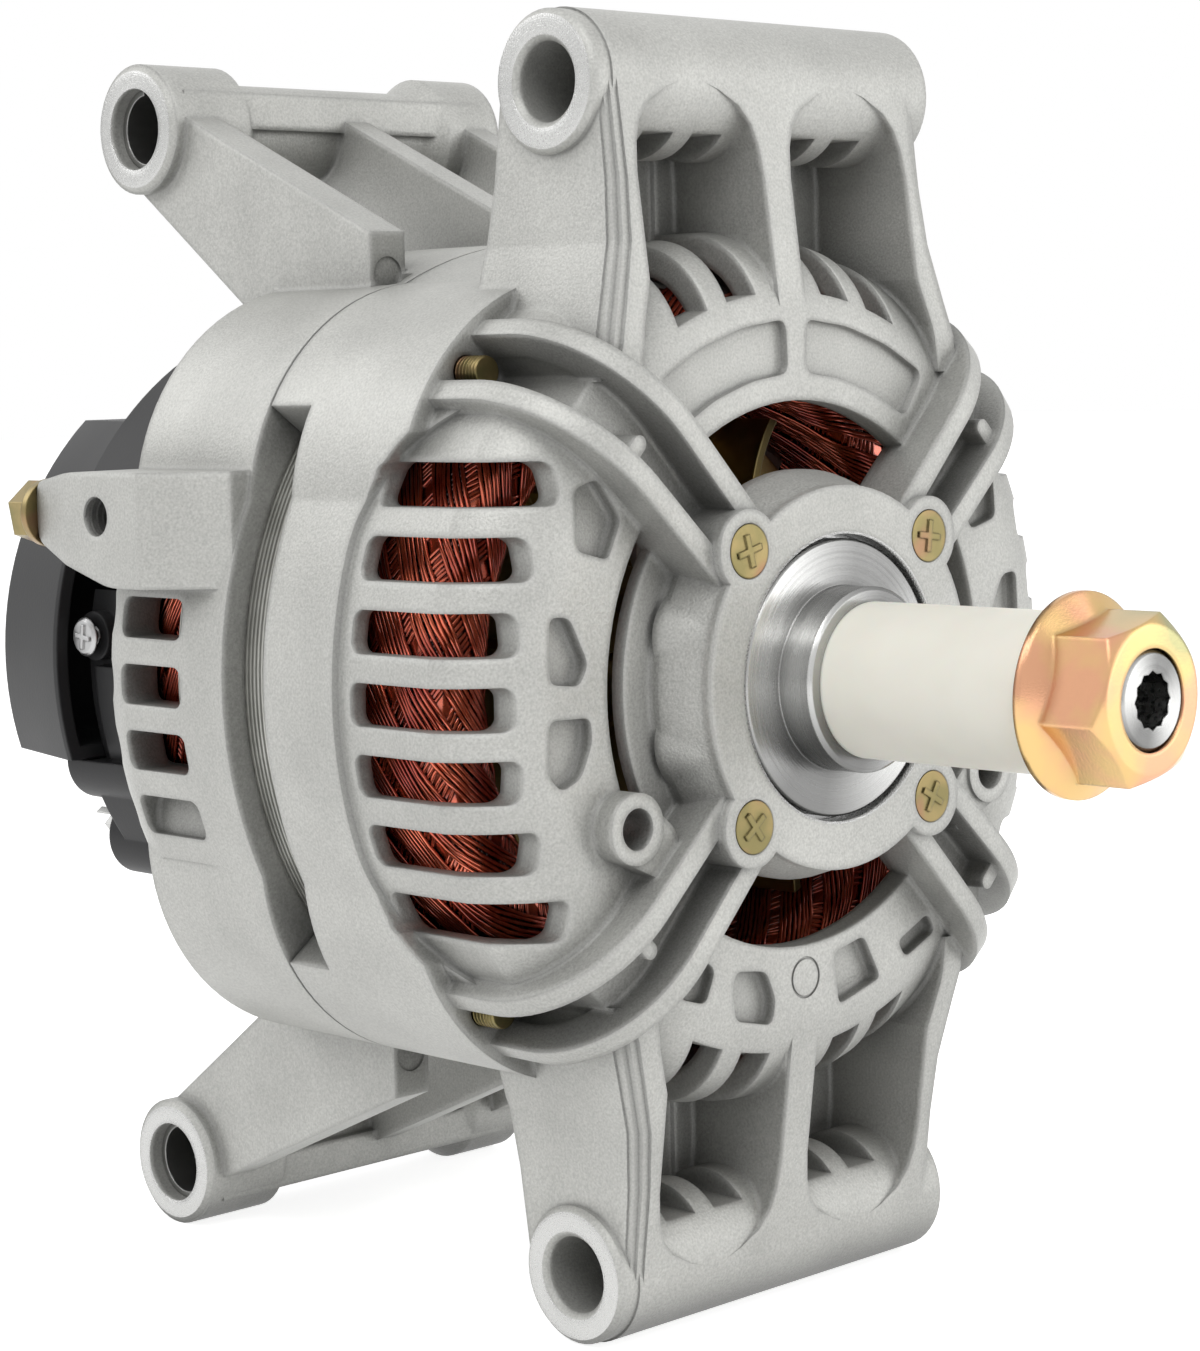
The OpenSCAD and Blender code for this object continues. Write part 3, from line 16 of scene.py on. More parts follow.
import bmesh
import bpy
from mathutils import Matrix, Vector


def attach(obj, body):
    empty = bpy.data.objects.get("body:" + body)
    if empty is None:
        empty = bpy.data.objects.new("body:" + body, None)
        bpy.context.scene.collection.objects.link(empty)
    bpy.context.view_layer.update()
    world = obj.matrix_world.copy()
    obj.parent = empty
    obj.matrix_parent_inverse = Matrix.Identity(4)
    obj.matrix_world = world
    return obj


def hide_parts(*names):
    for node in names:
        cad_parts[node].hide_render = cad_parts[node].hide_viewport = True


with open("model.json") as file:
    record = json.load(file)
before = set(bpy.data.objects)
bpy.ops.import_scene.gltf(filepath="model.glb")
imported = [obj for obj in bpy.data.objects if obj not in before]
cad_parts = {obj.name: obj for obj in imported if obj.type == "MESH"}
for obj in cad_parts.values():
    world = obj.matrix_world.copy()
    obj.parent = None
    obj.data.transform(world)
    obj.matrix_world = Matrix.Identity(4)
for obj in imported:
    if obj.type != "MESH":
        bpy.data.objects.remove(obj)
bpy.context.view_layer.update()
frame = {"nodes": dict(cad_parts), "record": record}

LOG = logging.getLogger("alternator")
MM = 0.001
ALONG_SHAFT = Matrix.Rotation(math.radians(-90), 4, "X")
Colour = tuple[float, float, float]
Socket = bpy.types.NodeSocket
SMOOTH_ANGLE = math.radians(35)
WHITE = (1.0, 1.0, 1.0, 1.0)
FLOAT = "NodeSocketFloat"
SHAPE = "NodeSocketGeometry"


class Drive(Enum):
    """Recess in a screw's head."""

    CROSS = "cross"
    LOBED = "lobed"


class Facing(Enum):
    """Way that a screw's head faces, as its turn from facing the nut's end, in degrees."""

    FRONT = 0.0
    REAR = 180.0
    LEFT = -90.0


class Head(Enum):
    """Shape of a screw's head."""

    COUNTERSUNK = "countersunk"
    PAN = "pan"


def link(made: bpy.types.Object) -> bpy.types.Object:
    """Puts an object into the scene and returns it."""
    bpy.context.scene.collection.objects.link(made)
    return made


def rgba(colour: Colour) -> tuple[float, float, float, float]:
    """Returns the colour with a full alpha."""
    return (*colour, 1.0)


def polar(radius: float, angle: float, y: float) -> Vector:
    """Point round the shaft.

    Args:
        radius: Distance from the shaft axis, in millimetres.
        angle: Angle from +X towards +Z, in degrees.
        y: Place along the shaft, in millimetres.

    Returns:
        The point in metres.
    """
    a = math.radians(angle)
    return Vector((radius * math.cos(a), y, radius * math.sin(a))) * MM


class Graph:
    """Short calls that add nodes to one tree."""

    def __init__(self, tree: bpy.types.NodeTree) -> None:
        """Keeps the tree that the nodes go into."""
        self.tree = tree

    @classmethod
    def shading(cls, name: str, inputs: tuple[str, ...], outputs: tuple[str, ...]) -> tuple:
        """Opens a shader group whose sockets are all numbers, as group does."""
        return cls.group("ShaderNodeTree", name, dict.fromkeys(inputs, FLOAT),
                         dict.fromkeys(outputs, FLOAT))

    @classmethod
    def group(cls, kind: str, name: str, inputs: dict[str, str], outputs: dict[str, str]
              ) -> tuple:
        """Opens a node group with its sockets.

        Args:
            kind: The tree's type name.
            name: The group's name.
            inputs: Names and types of its inputs.
            outputs: Names and types of its outputs.

        Returns:
            The tree, a graph on it, its input node and its output node.
        """
        tree = bpy.data.node_groups.new(name, kind)
        for way, sockets in (("INPUT", inputs), ("OUTPUT", outputs)):
            for key, socket in sockets.items():
                tree.interface.new_socket(key, in_out=way, socket_type=socket)
        graph = cls(tree)
        return tree, graph, graph.add("NodeGroupInput"), graph.add("NodeGroupOutput")

    def add(self, kind: str, **settings: object) -> bpy.types.Node:
        """Adds a node.

        Args:
            kind: The node's type name.
            settings: Values for the node's own attributes.

        Returns:
            The new node.
        """
        node = self.tree.nodes.new(kind)
        for key, value in settings.items():
            setattr(node, key, value)
        return node

    def feed(self, socket: Socket, value: object) -> None:
        """Links a socket to another one, or sets its value.

        Args:
            socket: The input.
            value: An output socket, a number, a vector or a colour.
        """
        if isinstance(value, bpy.types.NodeSocket):
            self.tree.links.new(value, socket)
        else:
            socket.default_value = value

    def fill(self, node: bpy.types.Node, feeds: dict[str | int, object]) -> None:
        """Feeds several inputs of a node, by name or number."""
        for key, value in feeds.items():
            self.feed(node.inputs[key], value)

    def make(self, kind: str, feeds: dict[str | int, object], output: str | int = 0,
             **settings: object) -> Socket:
        """Adds a node and feeds it.

        Args:
            kind: The node's type name.
            feeds: Values or sockets for its inputs, by name or number.
            output: Name or number of the output that is used.
            settings: Values for the node's own attributes.

        Returns:
            The output's socket.
        """
        node = self.add(kind, **settings)
        self.fill(node, feeds)
        return node.outputs[output]

    def maths(self, operation: str, a: object, b: object = 0.0, c: object = 0.0) -> Socket:
        """Adds a Math node.

        Args:
            operation: The node's operation.
            a: First value or socket.
            b: Second value or socket.
            c: Third value or socket.

        Returns:
            The result's socket.
        """
        return self.make("ShaderNodeMath", {0: a, 1: b, 2: c}, operation=operation)

    def length(self, a: Socket, b: Socket) -> Socket:
        """Returns the length of the vector that has the two sides."""
        return self.maths("SQRT", self.maths("ADD", self.maths("MULTIPLY", a, a),
                                             self.maths("MULTIPLY", b, b)))

    def noise(self, vector: Socket, scale: object, detail: float) -> Socket:
        """Adds a noise texture.

        Args:
            vector: Coordinates to read.
            scale: Waves per metre, as a number or a socket.
            detail: Octaves.

        Returns:
            The noise value's socket.
        """
        return self.make("ShaderNodeTexNoise",
                         {"Vector": vector, "Scale": scale, "Detail": detail})

    def spread(self, value: Socket, low: float, high: float, to_low: float = 0.0,
               to_high: float = 1.0) -> Socket:
        """Maps a value from one range to another and clamps it.

        Args:
            value: The value to map.
            low: Start of its range.
            high: End of its range.
            to_low: Result at the start.
            to_high: Result at the end.

        Returns:
            The result's socket.
        """
        return self.make("ShaderNodeMapRange", {"Value": value, "From Min": low, "From Max": high,
                                                "To Min": to_low, "To Max": to_high})

    def blend(self, factor: object, a: object, b: object, mode: str = "MIX") -> Socket:
        """Mixes two colours.

        Args:
            factor: Share of the second colour.
            a: First colour.
            b: Second colour.
            mode: Blend mode.

        Returns:
            The mixed colour's socket.
        """
        return self.make("ShaderNodeMix", {0: factor, 6: a, 7: b}, 2, data_type="RGBA",
                         blend_type=mode)

    def place(self) -> Socket:
        """Returns the Object coordinates."""
        return self.add("ShaderNodeTexCoord").outputs["Object"]

    def axes(self, vector: Socket) -> tuple[Socket, Socket, Socket]:
        """Returns the vector's X, Y and Z sockets."""
        node = self.add("ShaderNodeSeparateXYZ")
        self.feed(node.inputs[0], vector)
        return node.outputs[0], node.outputs[1], node.outputs[2]


class ShaderGroups:
    """Effects that several finishes share, each built once as a node group."""

    RAY_SAMPLES = 6
    CUTTER_WAVES = 16000.0
    SHEEN_PHASE = 0.9

    def __init__(self) -> None:
        """Builds the groups."""
        self.skin = self._skin()
        self.corners = self._corners()
        self.rings = self._rings()
        self.end_faces = self._end_faces()

    def _skin(self) -> bpy.types.NodeTree:
        """Returns the fine grain and the broad clouding of a moulded or blasted surface."""
        tree, g, given, result = Graph.shading(
            "surface_skin", ("Grain Scale", "Cloud Scale"), ("Height", "Cloud"))
        where = g.place()
        for key, target in (("Grain Scale", "Height"), ("Cloud Scale", "Cloud")):
            g.feed(result.inputs[target], g.noise(where, given.outputs[key], 3.0))
        return tree

    def _corners(self) -> bpy.types.NodeTree:
        """Returns rounded normals, the mask of the corners and the mask of the crevices."""
        tree, g, given, result = Graph.group(
            "ShaderNodeTree", "rounded_corners", {"Radius": FLOAT, "Crevice Depth": FLOAT},
            {"Normal": "NodeSocketVector", "Corner": FLOAT, "Open": FLOAT})
        bevel = g.make("ShaderNodeBevel", {"Radius": given.outputs["Radius"]},
                       samples=self.RAY_SAMPLES)
        flat = g.add("ShaderNodeNewGeometry").outputs["Normal"]
        bend = g.make("ShaderNodeVectorMath", {0: bevel, 1: flat}, "Value",
                      operation="DOT_PRODUCT")
        space = g.make("ShaderNodeAmbientOcclusion",
                       {"Distance": given.outputs["Crevice Depth"]}, "AO",
                       samples=self.RAY_SAMPLES)
        g.fill(result, {"Normal": bevel, "Corner": g.spread(bend, 0.995, 0.85), "Open": space})
        return tree

    def _rings(self) -> bpy.types.NodeTree:
        """Returns the fine rings that turning leaves round an axis along Y, and a painted sheen:
        bands of light and shade round the axis, as a turned face reflects.
        """
        tree, g, given, result = Graph.shading(
            "turned_rings", ("Ring Scale",), ("Height", "Streak", "Sheen"))
        x, y, z = g.axes(g.place())
        line = g.make("ShaderNodeCombineXYZ", {0: g.length(x, z), 1: y})
        scale = given.outputs["Ring Scale"]
        angle = g.maths("ARCTAN2", z, x)
        # painted sheen: a wave of light and shade that goes twice round the axis
        painted_sheen_band = g.maths("COSINE", g.maths("MULTIPLY_ADD", angle, 2.0, self.SHEEN_PHASE))
        g.fill(result, {"Height": g.noise(line, scale, 2.0),
                        "Streak": g.noise(line, g.maths("MULTIPLY", scale, 0.2), 2.0),
                        "Sheen": g.spread(painted_sheen_band, -0.9, 0.9)})
        return tree

    def _end_faces(self) -> bpy.types.NodeTree:
        """Returns the mask of a pair of tubes' machined end faces, with their cutter rings."""
        tree, g, given, result = Graph.shading(
            "tube_end_faces", ("Tube Y", "Tube Z", "Tube Radius", "Near X", "Far X"),
            ("Mask", "Ring"))
        x, y, z = g.axes(g.place())
        across = g.maths("SUBTRACT", y, given.outputs["Tube Y"])
        above = g.maths("SUBTRACT", g.maths("ABSOLUTE", z), given.outputs["Tube Z"])
        away = g.length(across, above)
        inside = g.maths("LESS_THAN", away, given.outputs["Tube Radius"])
        ends = g.maths("MAXIMUM", g.maths("LESS_THAN", x, given.outputs["Near X"]),
                       g.maths("GREATER_THAN", x, given.outputs["Far X"]))
        ring = g.maths("SINE", g.maths("MULTIPLY", away, self.CUTTER_WAVES))
        g.fill(result, {"Mask": g.maths("MULTIPLY", inside, ends), "Ring": ring})
        return tree


class Surface:
    """A material in the making, with its tree and its main shader."""

    def __init__(self, name: str) -> None:
        """Makes the material under the name."""
        self.material = bpy.data.materials.new(name)
        self.material.use_nodes = True
        self.graph = Graph(self.material.node_tree)
        self.shader = self.material.node_tree.nodes["Principled BSDF"]

    def use(self, group: bpy.types.NodeTree, **values: float) -> bpy.types.Node:
        """Places a shared group.

        Args:
            group: The node group.
            values: Its input values, with _ for a space.

        Returns:
            The group's node.
        """
        node = self.graph.add("ShaderNodeGroup", node_tree=group)
        self.graph.fill(node, {key.replace("_", " "): value for key, value in values.items()})
        return node

    def set(self, **values: object) -> None:
        """Feeds the main shader's sockets, named with _ for a space."""
        self.graph.fill(self.shader,
                        {key.replace("_", " "): value for key, value in values.items()})

    def bump(self, height: object, distance: float, normal: object = None,
             strength: float = 1.0) -> Socket:
        """Adds a Bump node.

        Args:
            height: The height's socket.
            distance: Height of a full step, in metres.
            normal: Normal to start from.
            strength: Share of the effect.

        Returns:
            The bumped normal's socket.
        """
        feeds = {"Strength": strength, "Distance": distance, "Height": height}
        if normal is not None:
            feeds["Normal"] = normal
        return self.graph.make("ShaderNodeBump", feeds)


class Finish(ABC):
    """Look of a surface, which becomes a material."""

    def build(self, name: str, groups: ShaderGroups) -> bpy.types.Material:
        """Makes the material.

        Args:
            name: The material's name.
            groups: The shared effects.

        Returns:
            The material.
        """
        surface = Surface(name)
        self.paint(surface, surface.graph, groups)
        return surface.material

    @abstractmethod
    def paint(self, s: Surface, g: Graph, groups: ShaderGroups) -> None:
        """Feeds the material's main shader.

        Args:
            s: The material in the making.
            g: Its graph.
            groups: The shared effects.
        """


@dataclass(frozen=True)
class TubePair:
    """Two mirrored mount tubes whose end faces are machined, in millimetres."""

    y: float
    z: float
    radius: float
    near_x: float
    far_x: float


@dataclass(frozen=True)
class CastFinish(Finish):
    """Blasted aluminium die casting with machined tube ends and a machined hub bore."""

    colour: Colour = (0.485, 0.485, 0.462)
    # painted highlight: the colour that the casting's corners are lightened towards
    corner_highlight_colour: Colour = (0.58, 0.58, 0.56)
    machined: Colour = (0.52, 0.52, 0.51)
    roughness: float = 0.48
    metal: float = 0.42
    tubes: tuple[TubePair, ...] = (TubePair(33.1, 98.0, 12.3, -39.9, 41.9),
                                   TubePair(146.0, 98.0, 12.3, -37.9, 42.9))
    hub_bore: float = 24.3
    cloud: tuple[float, float] = (0.91, 1.08)
    grain: tuple[float, float] = (0.84, 1.14)
    crevice: float = 0.38
    # share of the painted highlight on the corners
    corner_highlight_share: float = 0.35
    relief: float = 0.00014
    cutter_relief: float = 0.00002

    def paint(self, s: Surface, g: Graph, groups: ShaderGroups) -> None:
        """Paints the casting, its machined faces, a painted highlight along its corners and
        painted shade in its crevices.
        """
        skin = s.use(groups.skin, Grain_Scale=2300.0, Cloud_Scale=50.0)
        corners = s.use(groups.corners, Radius=0.0018, Crevice_Depth=0.012)
        masks, rings = [], []
        for tube in self.tubes:
            face = s.use(groups.end_faces, Tube_Y=tube.y * MM, Tube_Z=tube.z * MM,
                         Tube_Radius=tube.radius * MM, Near_X=tube.near_x * MM,
                         Far_X=tube.far_x * MM)
            masks.append(face.outputs["Mask"])
            rings.append(face.outputs["Ring"])
        x, _, z = g.axes(g.place())
        masks.append(g.maths("LESS_THAN", g.length(x, z), self.hub_bore * MM))
        cut = g.maths("MAXIMUM", g.maths("MAXIMUM", masks[0], masks[1]), masks[2])
        cloud = g.spread(skin.outputs["Cloud"], 0.3, 0.7, *self.cloud)
        grain = g.spread(skin.outputs["Height"], 0.3, 0.7, *self.grain)
        speckle = g.maths("MULTIPLY", cloud, grain)
        tone = g.blend(1.0, rgba(self.colour), speckle, "MULTIPLY")
        # painted highlight: corners lightened as if they catch the light
        tone = g.blend(g.maths("MULTIPLY", corners.outputs["Corner"], self.corner_highlight_share), tone,
                       rgba(self.corner_highlight_colour))
        # painted shade: darker where the ambient-occlusion mask finds crevices and hollows
        shade = g.spread(corners.outputs["Open"], 0.20, 0.95, self.crevice, 1.0)
        tone = g.blend(1.0, tone, shade, "MULTIPLY")
        tone = g.blend(cut, tone, rgba(self.machined))
        rough = g.maths("ADD", g.maths("MULTIPLY", skin.outputs["Height"], 0.16),
                        self.roughness - 0.08)
        rough = g.maths("SUBTRACT", rough, g.maths("MULTIPLY", cut, 0.20))
        fine = s.bump(skin.outputs["Height"], self.relief, corners.outputs["Normal"], 0.65)
        ring = g.maths("MULTIPLY", g.maths("ADD", rings[0], rings[1]), cut)
        s.set(Base_Color=tone, Roughness=rough,
              Metallic=g.maths("MULTIPLY_ADD", cut, 0.4, self.metal),
              Normal=s.bump(ring, self.cutter_relief, fine, 0.5))


@dataclass(frozen=True)
class MetalFinish(Finish):
    """Plated, rolled or machined metal, turned where rings are given."""

    colour: Colour
    roughness: float
    second: Colour | None = None
    third: Colour | None = None
    patch_scale: float = 90.0
    ring_scale: float = 0.0
    ring_height: float = 0.00001
    corner: float = 0.0004
    # depth of the painted sheen's darker bands on turned faces
    painted_sheen: float = 0.0

    def paint(self, s: Surface, g: Graph, groups: ShaderGroups) -> None:
        """Paints the metal with its patches, painted shade in its hollows and, where turned, its
        turning rings and a painted sheen.
        """
        skin = s.use(groups.skin, Grain_Scale=2600.0, Cloud_Scale=self.patch_scale)
        corners = s.use(groups.corners, Radius=self.corner, Crevice_Depth=0.004)
        tone: object = rgba(self.colour)
        if self.second:
            patch = g.spread(skin.outputs["Cloud"], 0.42, 0.58)
            tone = g.blend(patch, tone, rgba(self.second))
        if self.third:
            wide = g.noise(g.place(), self.patch_scale * 0.8, 1.0)
            tone = g.blend(g.spread(wide, 0.52, 0.66), tone, rgba(self.third))
        shade = g.spread(corners.outputs["Open"], 0.2, 0.9, 0.5, 1.0)
        tone = g.blend(1.0, tone, shade, "MULTIPLY")
        rough = g.maths("ADD", g.maths("MULTIPLY", skin.outputs["Height"], 0.12),
                        self.roughness - 0.06)
        normal = corners.outputs["Normal"]
        if self.ring_scale:
            rings = s.use(groups.rings, Ring_Scale=self.ring_scale)
            streak = g.spread(rings.outputs["Streak"], 0.35, 0.65, -0.08, 0.10)
            rough = g.maths("ADD", rough, streak)
            normal = s.bump(rings.outputs["Height"], self.ring_height, normal)
            # painted sheen: the turned face is darkened in bands round its axis, a painted
            # reflection
            painted_sheen_band = g.spread(rings.outputs["Sheen"], 0.0, 1.0, 1.0 - self.painted_sheen, 1.0)
            tone = g.blend(1.0, tone, painted_sheen_band, "MULTIPLY")
        else:
            normal = s.bump(skin.outputs["Height"], 0.00003, normal, 0.4)
        s.set(Base_Color=tone, Roughness=rough, Metallic=1.0, Normal=normal)


@dataclass(frozen=True)
class PlasticFinish(Finish):
    """Moulded plastic, rubber, paper or carbon."""

    colour: Colour
    roughness: float
    grain_height: float = 0.00003
    glow_through: float = 0.0
    corner: float = 0.0006
    shine: float = 0.5

    def paint(self, s: Surface, g: Graph, groups: ShaderGroups) -> None:
        """Paints the moulded surface."""
        skin = s.use(groups.skin, Grain_Scale=1600.0, Cloud_Scale=35.0)
        corners = s.use(groups.corners, Radius=self.corner, Crevice_Depth=0.006)
        cloud = g.spread(skin.outputs["Cloud"], 0.3, 0.7, 0.94, 1.06)
        tone = g.blend(1.0, rgba(self.colour), cloud, "MULTIPLY")
        rough = g.maths("ADD", g.maths("MULTIPLY", skin.outputs["Cloud"], 0.14),
                        self.roughness - 0.07)
        s.set(Base_Color=tone, Roughness=rough, Subsurface_Weight=self.glow_through,
              Subsurface_Scale=0.002, Specular_IOR_Level=self.shine,
              Normal=s.bump(skin.outputs["Height"], self.grain_height,
                            corners.outputs["Normal"], 0.6))


@dataclass(frozen=True)
class EnamelFinish(Finish):
    """Copper wire under clear red enamel, with painted shade in its hollows."""

    colour: Colour = (0.44, 0.040, 0.016)
    bright: Colour = (0.86, 0.165, 0.070)
    # painted shade: near-black colour of the hollows between the wires
    hollow_shade_colour: Colour = (0.016, 0.004, 0.003)
    roughness: float = 0.20

    def paint(self, s: Surface, g: Graph, groups: ShaderGroups) -> None:
        """Paints the enamel over the copper and the painted shade in its hollows."""
        skin = s.use(groups.skin, Grain_Scale=900.0, Cloud_Scale=110.0)
        corners = s.use(groups.corners, Radius=0.0003, Crevice_Depth=0.002)
        patch = g.spread(skin.outputs["Cloud"], 0.38, 0.62)
        tone = g.blend(patch, rgba(self.colour), rgba(self.bright))
        # painted shade: the wires go near black where the ambient-occlusion mask finds gaps
        # between them
        tone = g.blend(g.spread(corners.outputs["Open"], 0.75, 0.35), tone, rgba(self.hollow_shade_colour))
        s.set(Base_Color=tone, Roughness=self.roughness, Metallic=0.7, Coat_Weight=1.0,
              Coat_Roughness=0.07,
              Normal=s.bump(skin.outputs["Height"], 0.00005, None, 0.4))


@dataclass(frozen=True)
class SheetFinish(Finish):
    """Stack of thin steel sheets across the shaft."""

    colour: Colour = (0.36, 0.36, 0.335)
    bright: Colour = (0.50, 0.50, 0.47)
    pitch: float = 1.0

    def paint(self, s: Surface, g: Graph, groups: ShaderGroups) -> None:
        """Paints the edges of the sheets."""
        skin = s.use(groups.skin, Grain_Scale=1200.0, Cloud_Scale=120.0)
        _, y, _ = g.axes(g.place())
        wave = g.maths("SINE", g.maths("MULTIPLY", y, 2 * math.pi / (self.pitch * MM)))
        tone = g.blend(g.spread(skin.outputs["Cloud"], 0.35, 0.65), rgba(self.colour),
                       rgba(self.bright))
        tone = g.blend(1.0, tone, g.spread(wave, -1.0, 0.2, 0.72, 1.0), "MULTIPLY")
        s.set(Base_Color=tone, Roughness=0.42, Metallic=1.0,
              Normal=s.bump(wave, 0.00006, None, 0.7))


FINISHES = {
    "cast_aluminium": CastFinish(),
    "plate_aluminium": MetalFinish((0.48, 0.48, 0.47), 0.42),
    "lamination_steel": SheetFinish(),
    "enamelled_copper": EnamelFinish(),
    "insulation": PlasticFinish((0.72, 0.66, 0.50), 0.7),
    "yellow_zinc": MetalFinish((0.27, 0.21, 0.095), 0.32, (0.20, 0.17, 0.075),
                               (0.28, 0.16, 0.095), 140.0),
    "plain_zinc": MetalFinish((0.44, 0.44, 0.44), 0.34),
    "nut_zinc": MetalFinish((0.70, 0.37, 0.22), 0.20, (0.68, 0.46, 0.20), (0.40, 0.38, 0.19),
                            60.0, corner=0.0009),
    "fan_zinc": MetalFinish((0.32, 0.24, 0.10), 0.34, (0.22, 0.17, 0.075), None, 80.0),
    "bearing_steel": MetalFinish((0.52, 0.52, 0.52), 0.16),
    "bearing_rubber": PlasticFinish((0.022, 0.022, 0.022), 0.6, shine=0.25),
    "cage_nylon": PlasticFinish((0.26, 0.19, 0.11), 0.5),
    "bushing_steel": MetalFinish((0.38, 0.38, 0.37), 0.36),
    "black_plastic": PlasticFinish((0.020, 0.020, 0.021), 0.46, 0.00004, shine=0.22),
    "diode_case": MetalFinish((0.36, 0.36, 0.36), 0.35),
    # turned steel gets a painted sheen in bands round its axis
    "turned_steel": MetalFinish((0.54, 0.54, 0.53), 0.24, ring_scale=5200.0,
                                ring_height=0.000012, painted_sheen=0.68),
    "forged_steel": MetalFinish((0.15, 0.145, 0.14), 0.50, (0.21, 0.20, 0.185)),
    "ring_copper": MetalFinish((0.55, 0.30, 0.19), 0.25, ring_scale=3000.0),
    "ivory_plastic": PlasticFinish((0.95, 0.925, 0.83), 0.46, 0.00002, 0.10),
    "carbon": PlasticFinish((0.05, 0.05, 0.052), 0.5),
    "spring_steel": MetalFinish((0.42, 0.42, 0.42), 0.28),
}


class Wardrobe:
    """The finishes as materials, kept by the record's slot names."""

    def __init__(self) -> None:
        """Builds every finish once."""
        groups = ShaderGroups()
        self.materials = {slot: finish.build(slot, groups) for slot, finish in FINISHES.items()}

    def dress_frame(self) -> None:
        """Gives each CAD node the material of its slot."""
        for part in frame["record"]["subparts"]:
            node = frame["nodes"][part["node"]]
            material = self.materials[part["material_slot"]]
            if not node.material_slots:
                node.data.materials.append(material)
            for place in node.material_slots:
                place.material = material

    def dress(self, piece: bpy.types.Object, slot: str, body: str) -> bpy.types.Object:
        """Finishes a piece and sets it on its body.

        Args:
            piece: The piece, in place.
            slot: The record's material slot.
            body: The CAD body that carries it.

        Returns:
            The piece.
        """
        piece.data.materials.clear()
        piece.data.materials.append(self.materials[slot])
        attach(piece, body)
        LOG.info("%s rides on %s, %d faces", piece.name, body, len(piece.data.polygons))
        return piece


class Workshop:
    """Makes meshes and repeats them with Geometry Nodes."""

    def __init__(self) -> None:
        """Builds the two trees that repeat a piece and sweep a wire."""
        self.copy_tree = self._copy_tree()
        self.wire_tree = self._wire_tree()

    def _copy_tree(self) -> bpy.types.NodeTree:
        """Returns the tree that sets a piece on each point, each turned a little further."""
        tree, g, given, result = Graph.group(
            "GeometryNodeTree", "copies_on_points",
            {"Geometry": SHAPE, "Piece": "NodeSocketObject", "First Turn": FLOAT,
             "Turn Each": FLOAT, "Facing": FLOAT, "Finish": "NodeSocketMaterial"},
            {"Geometry": SHAPE})
        piece = g.make("GeometryNodeObjectInfo", {"Object": given.outputs["Piece"]}, "Geometry")
        turn = g.maths("MULTIPLY_ADD", g.add("GeometryNodeInputIndex").outputs[0],
                       given.outputs["Turn Each"], given.outputs["First Turn"])
        turns = g.make("ShaderNodeCombineXYZ", {1: turn, 2: given.outputs["Facing"]})
        copies = g.make("GeometryNodeInstanceOnPoints",
                        {"Points": given.outputs["Geometry"], "Instance": piece,
                         "Rotation": turns})
        self._close(g, given, result, copies)
        return tree

    def _wire_tree(self) -> bpy.types.NodeTree:
        """Returns the tree that sweeps a round wire along lines."""
        tree, g, given, result = Graph.group(
            "GeometryNodeTree", "wire_along_lines",
            {"Geometry": SHAPE, "Wire Radius": FLOAT, "Sides": "NodeSocketInt",
             "Finish": "NodeSocketMaterial"}, {"Geometry": SHAPE})
        curve = g.make("GeometryNodeMeshToCurve", {0: given.outputs["Geometry"]})
        rim = g.make("GeometryNodeCurvePrimitiveCircle",
                     {"Radius": given.outputs["Wire Radius"],
                      "Resolution": given.outputs["Sides"]})
        sweep = g.make("GeometryNodeCurveToMesh",
                       {"Curve": curve, "Profile Curve": rim, "Fill Caps": True})
        self._close(g, given, result, g.make("GeometryNodeSetShadeSmooth", {0: sweep}))
        return tree

    @staticmethod
    def _close(g: Graph, given: bpy.types.Node, result: bpy.types.Node, shape: Socket) -> None:
        """Ends a tree with Realize Instances and Set Material.

        Args:
            g: The tree's graph.
            given: Its input node.
            result: Its output node.
            shape: The geometry to end with.
        """
        real = g.make("GeometryNodeRealizeInstances", {0: shape})
        paint = g.make("GeometryNodeSetMaterial",
                       {"Geometry": real, "Material": given.outputs["Finish"]})
        g.feed(result.inputs[0], paint)

    @staticmethod
    def piece(name: str, mesh: bpy.types.Mesh) -> bpy.types.Object:
        """Returns a new object at the origin that holds the mesh."""
        return link(bpy.data.objects.new(name, mesh))

    def from_bmesh(self, name: str, shape: bmesh.types.BMesh) -> bpy.types.Object:
        """Turns a bmesh into an object with rounded shading.

        Args:
            name: The object's name.
            shape: The mesh being made, which is freed.

        Returns:
            The object.
        """
        bmesh.ops.recalc_face_normals(shape, faces=shape.faces)
        mesh = bpy.data.meshes.new(name)
        shape.to_mesh(mesh)
        shape.free()
        mesh.shade_smooth()
        mesh.set_sharp_from_angle(angle=SMOOTH_ANGLE)
        return self.piece(name, mesh)

    def run(self, piece: bpy.types.Object, tree: bpy.types.NodeTree, **values: object
            ) -> bpy.types.Object:
        """Runs a tree on an object and keeps the result as its plain mesh.

        Args:
            piece: The object that holds the tree's points or lines.
            tree: The Geometry Nodes tree.
            values: The tree's inputs, named with _ for a space.

        Returns:
            The object.
        """
        modifier = piece.modifiers.new("build", "NODES")
        modifier.node_group = tree
        for item in tree.interface.items_tree:
            key = item.name.replace(" ", "_")
            if item.in_out == "INPUT" and key in values:
                modifier[item.identifier] = values[key]
        return self.settle(piece)

    @staticmethod
    def settle(piece: bpy.types.Object) -> bpy.types.Object:
        """Applies a piece's modifiers.

        Args:
            piece: The object with live modifiers.

        Returns:
            The object, with a plain mesh and no modifiers.
        """
        bpy.context.view_layer.update()
        seen = piece.evaluated_get(bpy.context.evaluated_depsgraph_get())
        mesh = bpy.data.meshes.new_from_object(seen)
        mesh.name = piece.name
        piece.modifiers.clear()
        piece.data = mesh
        return piece

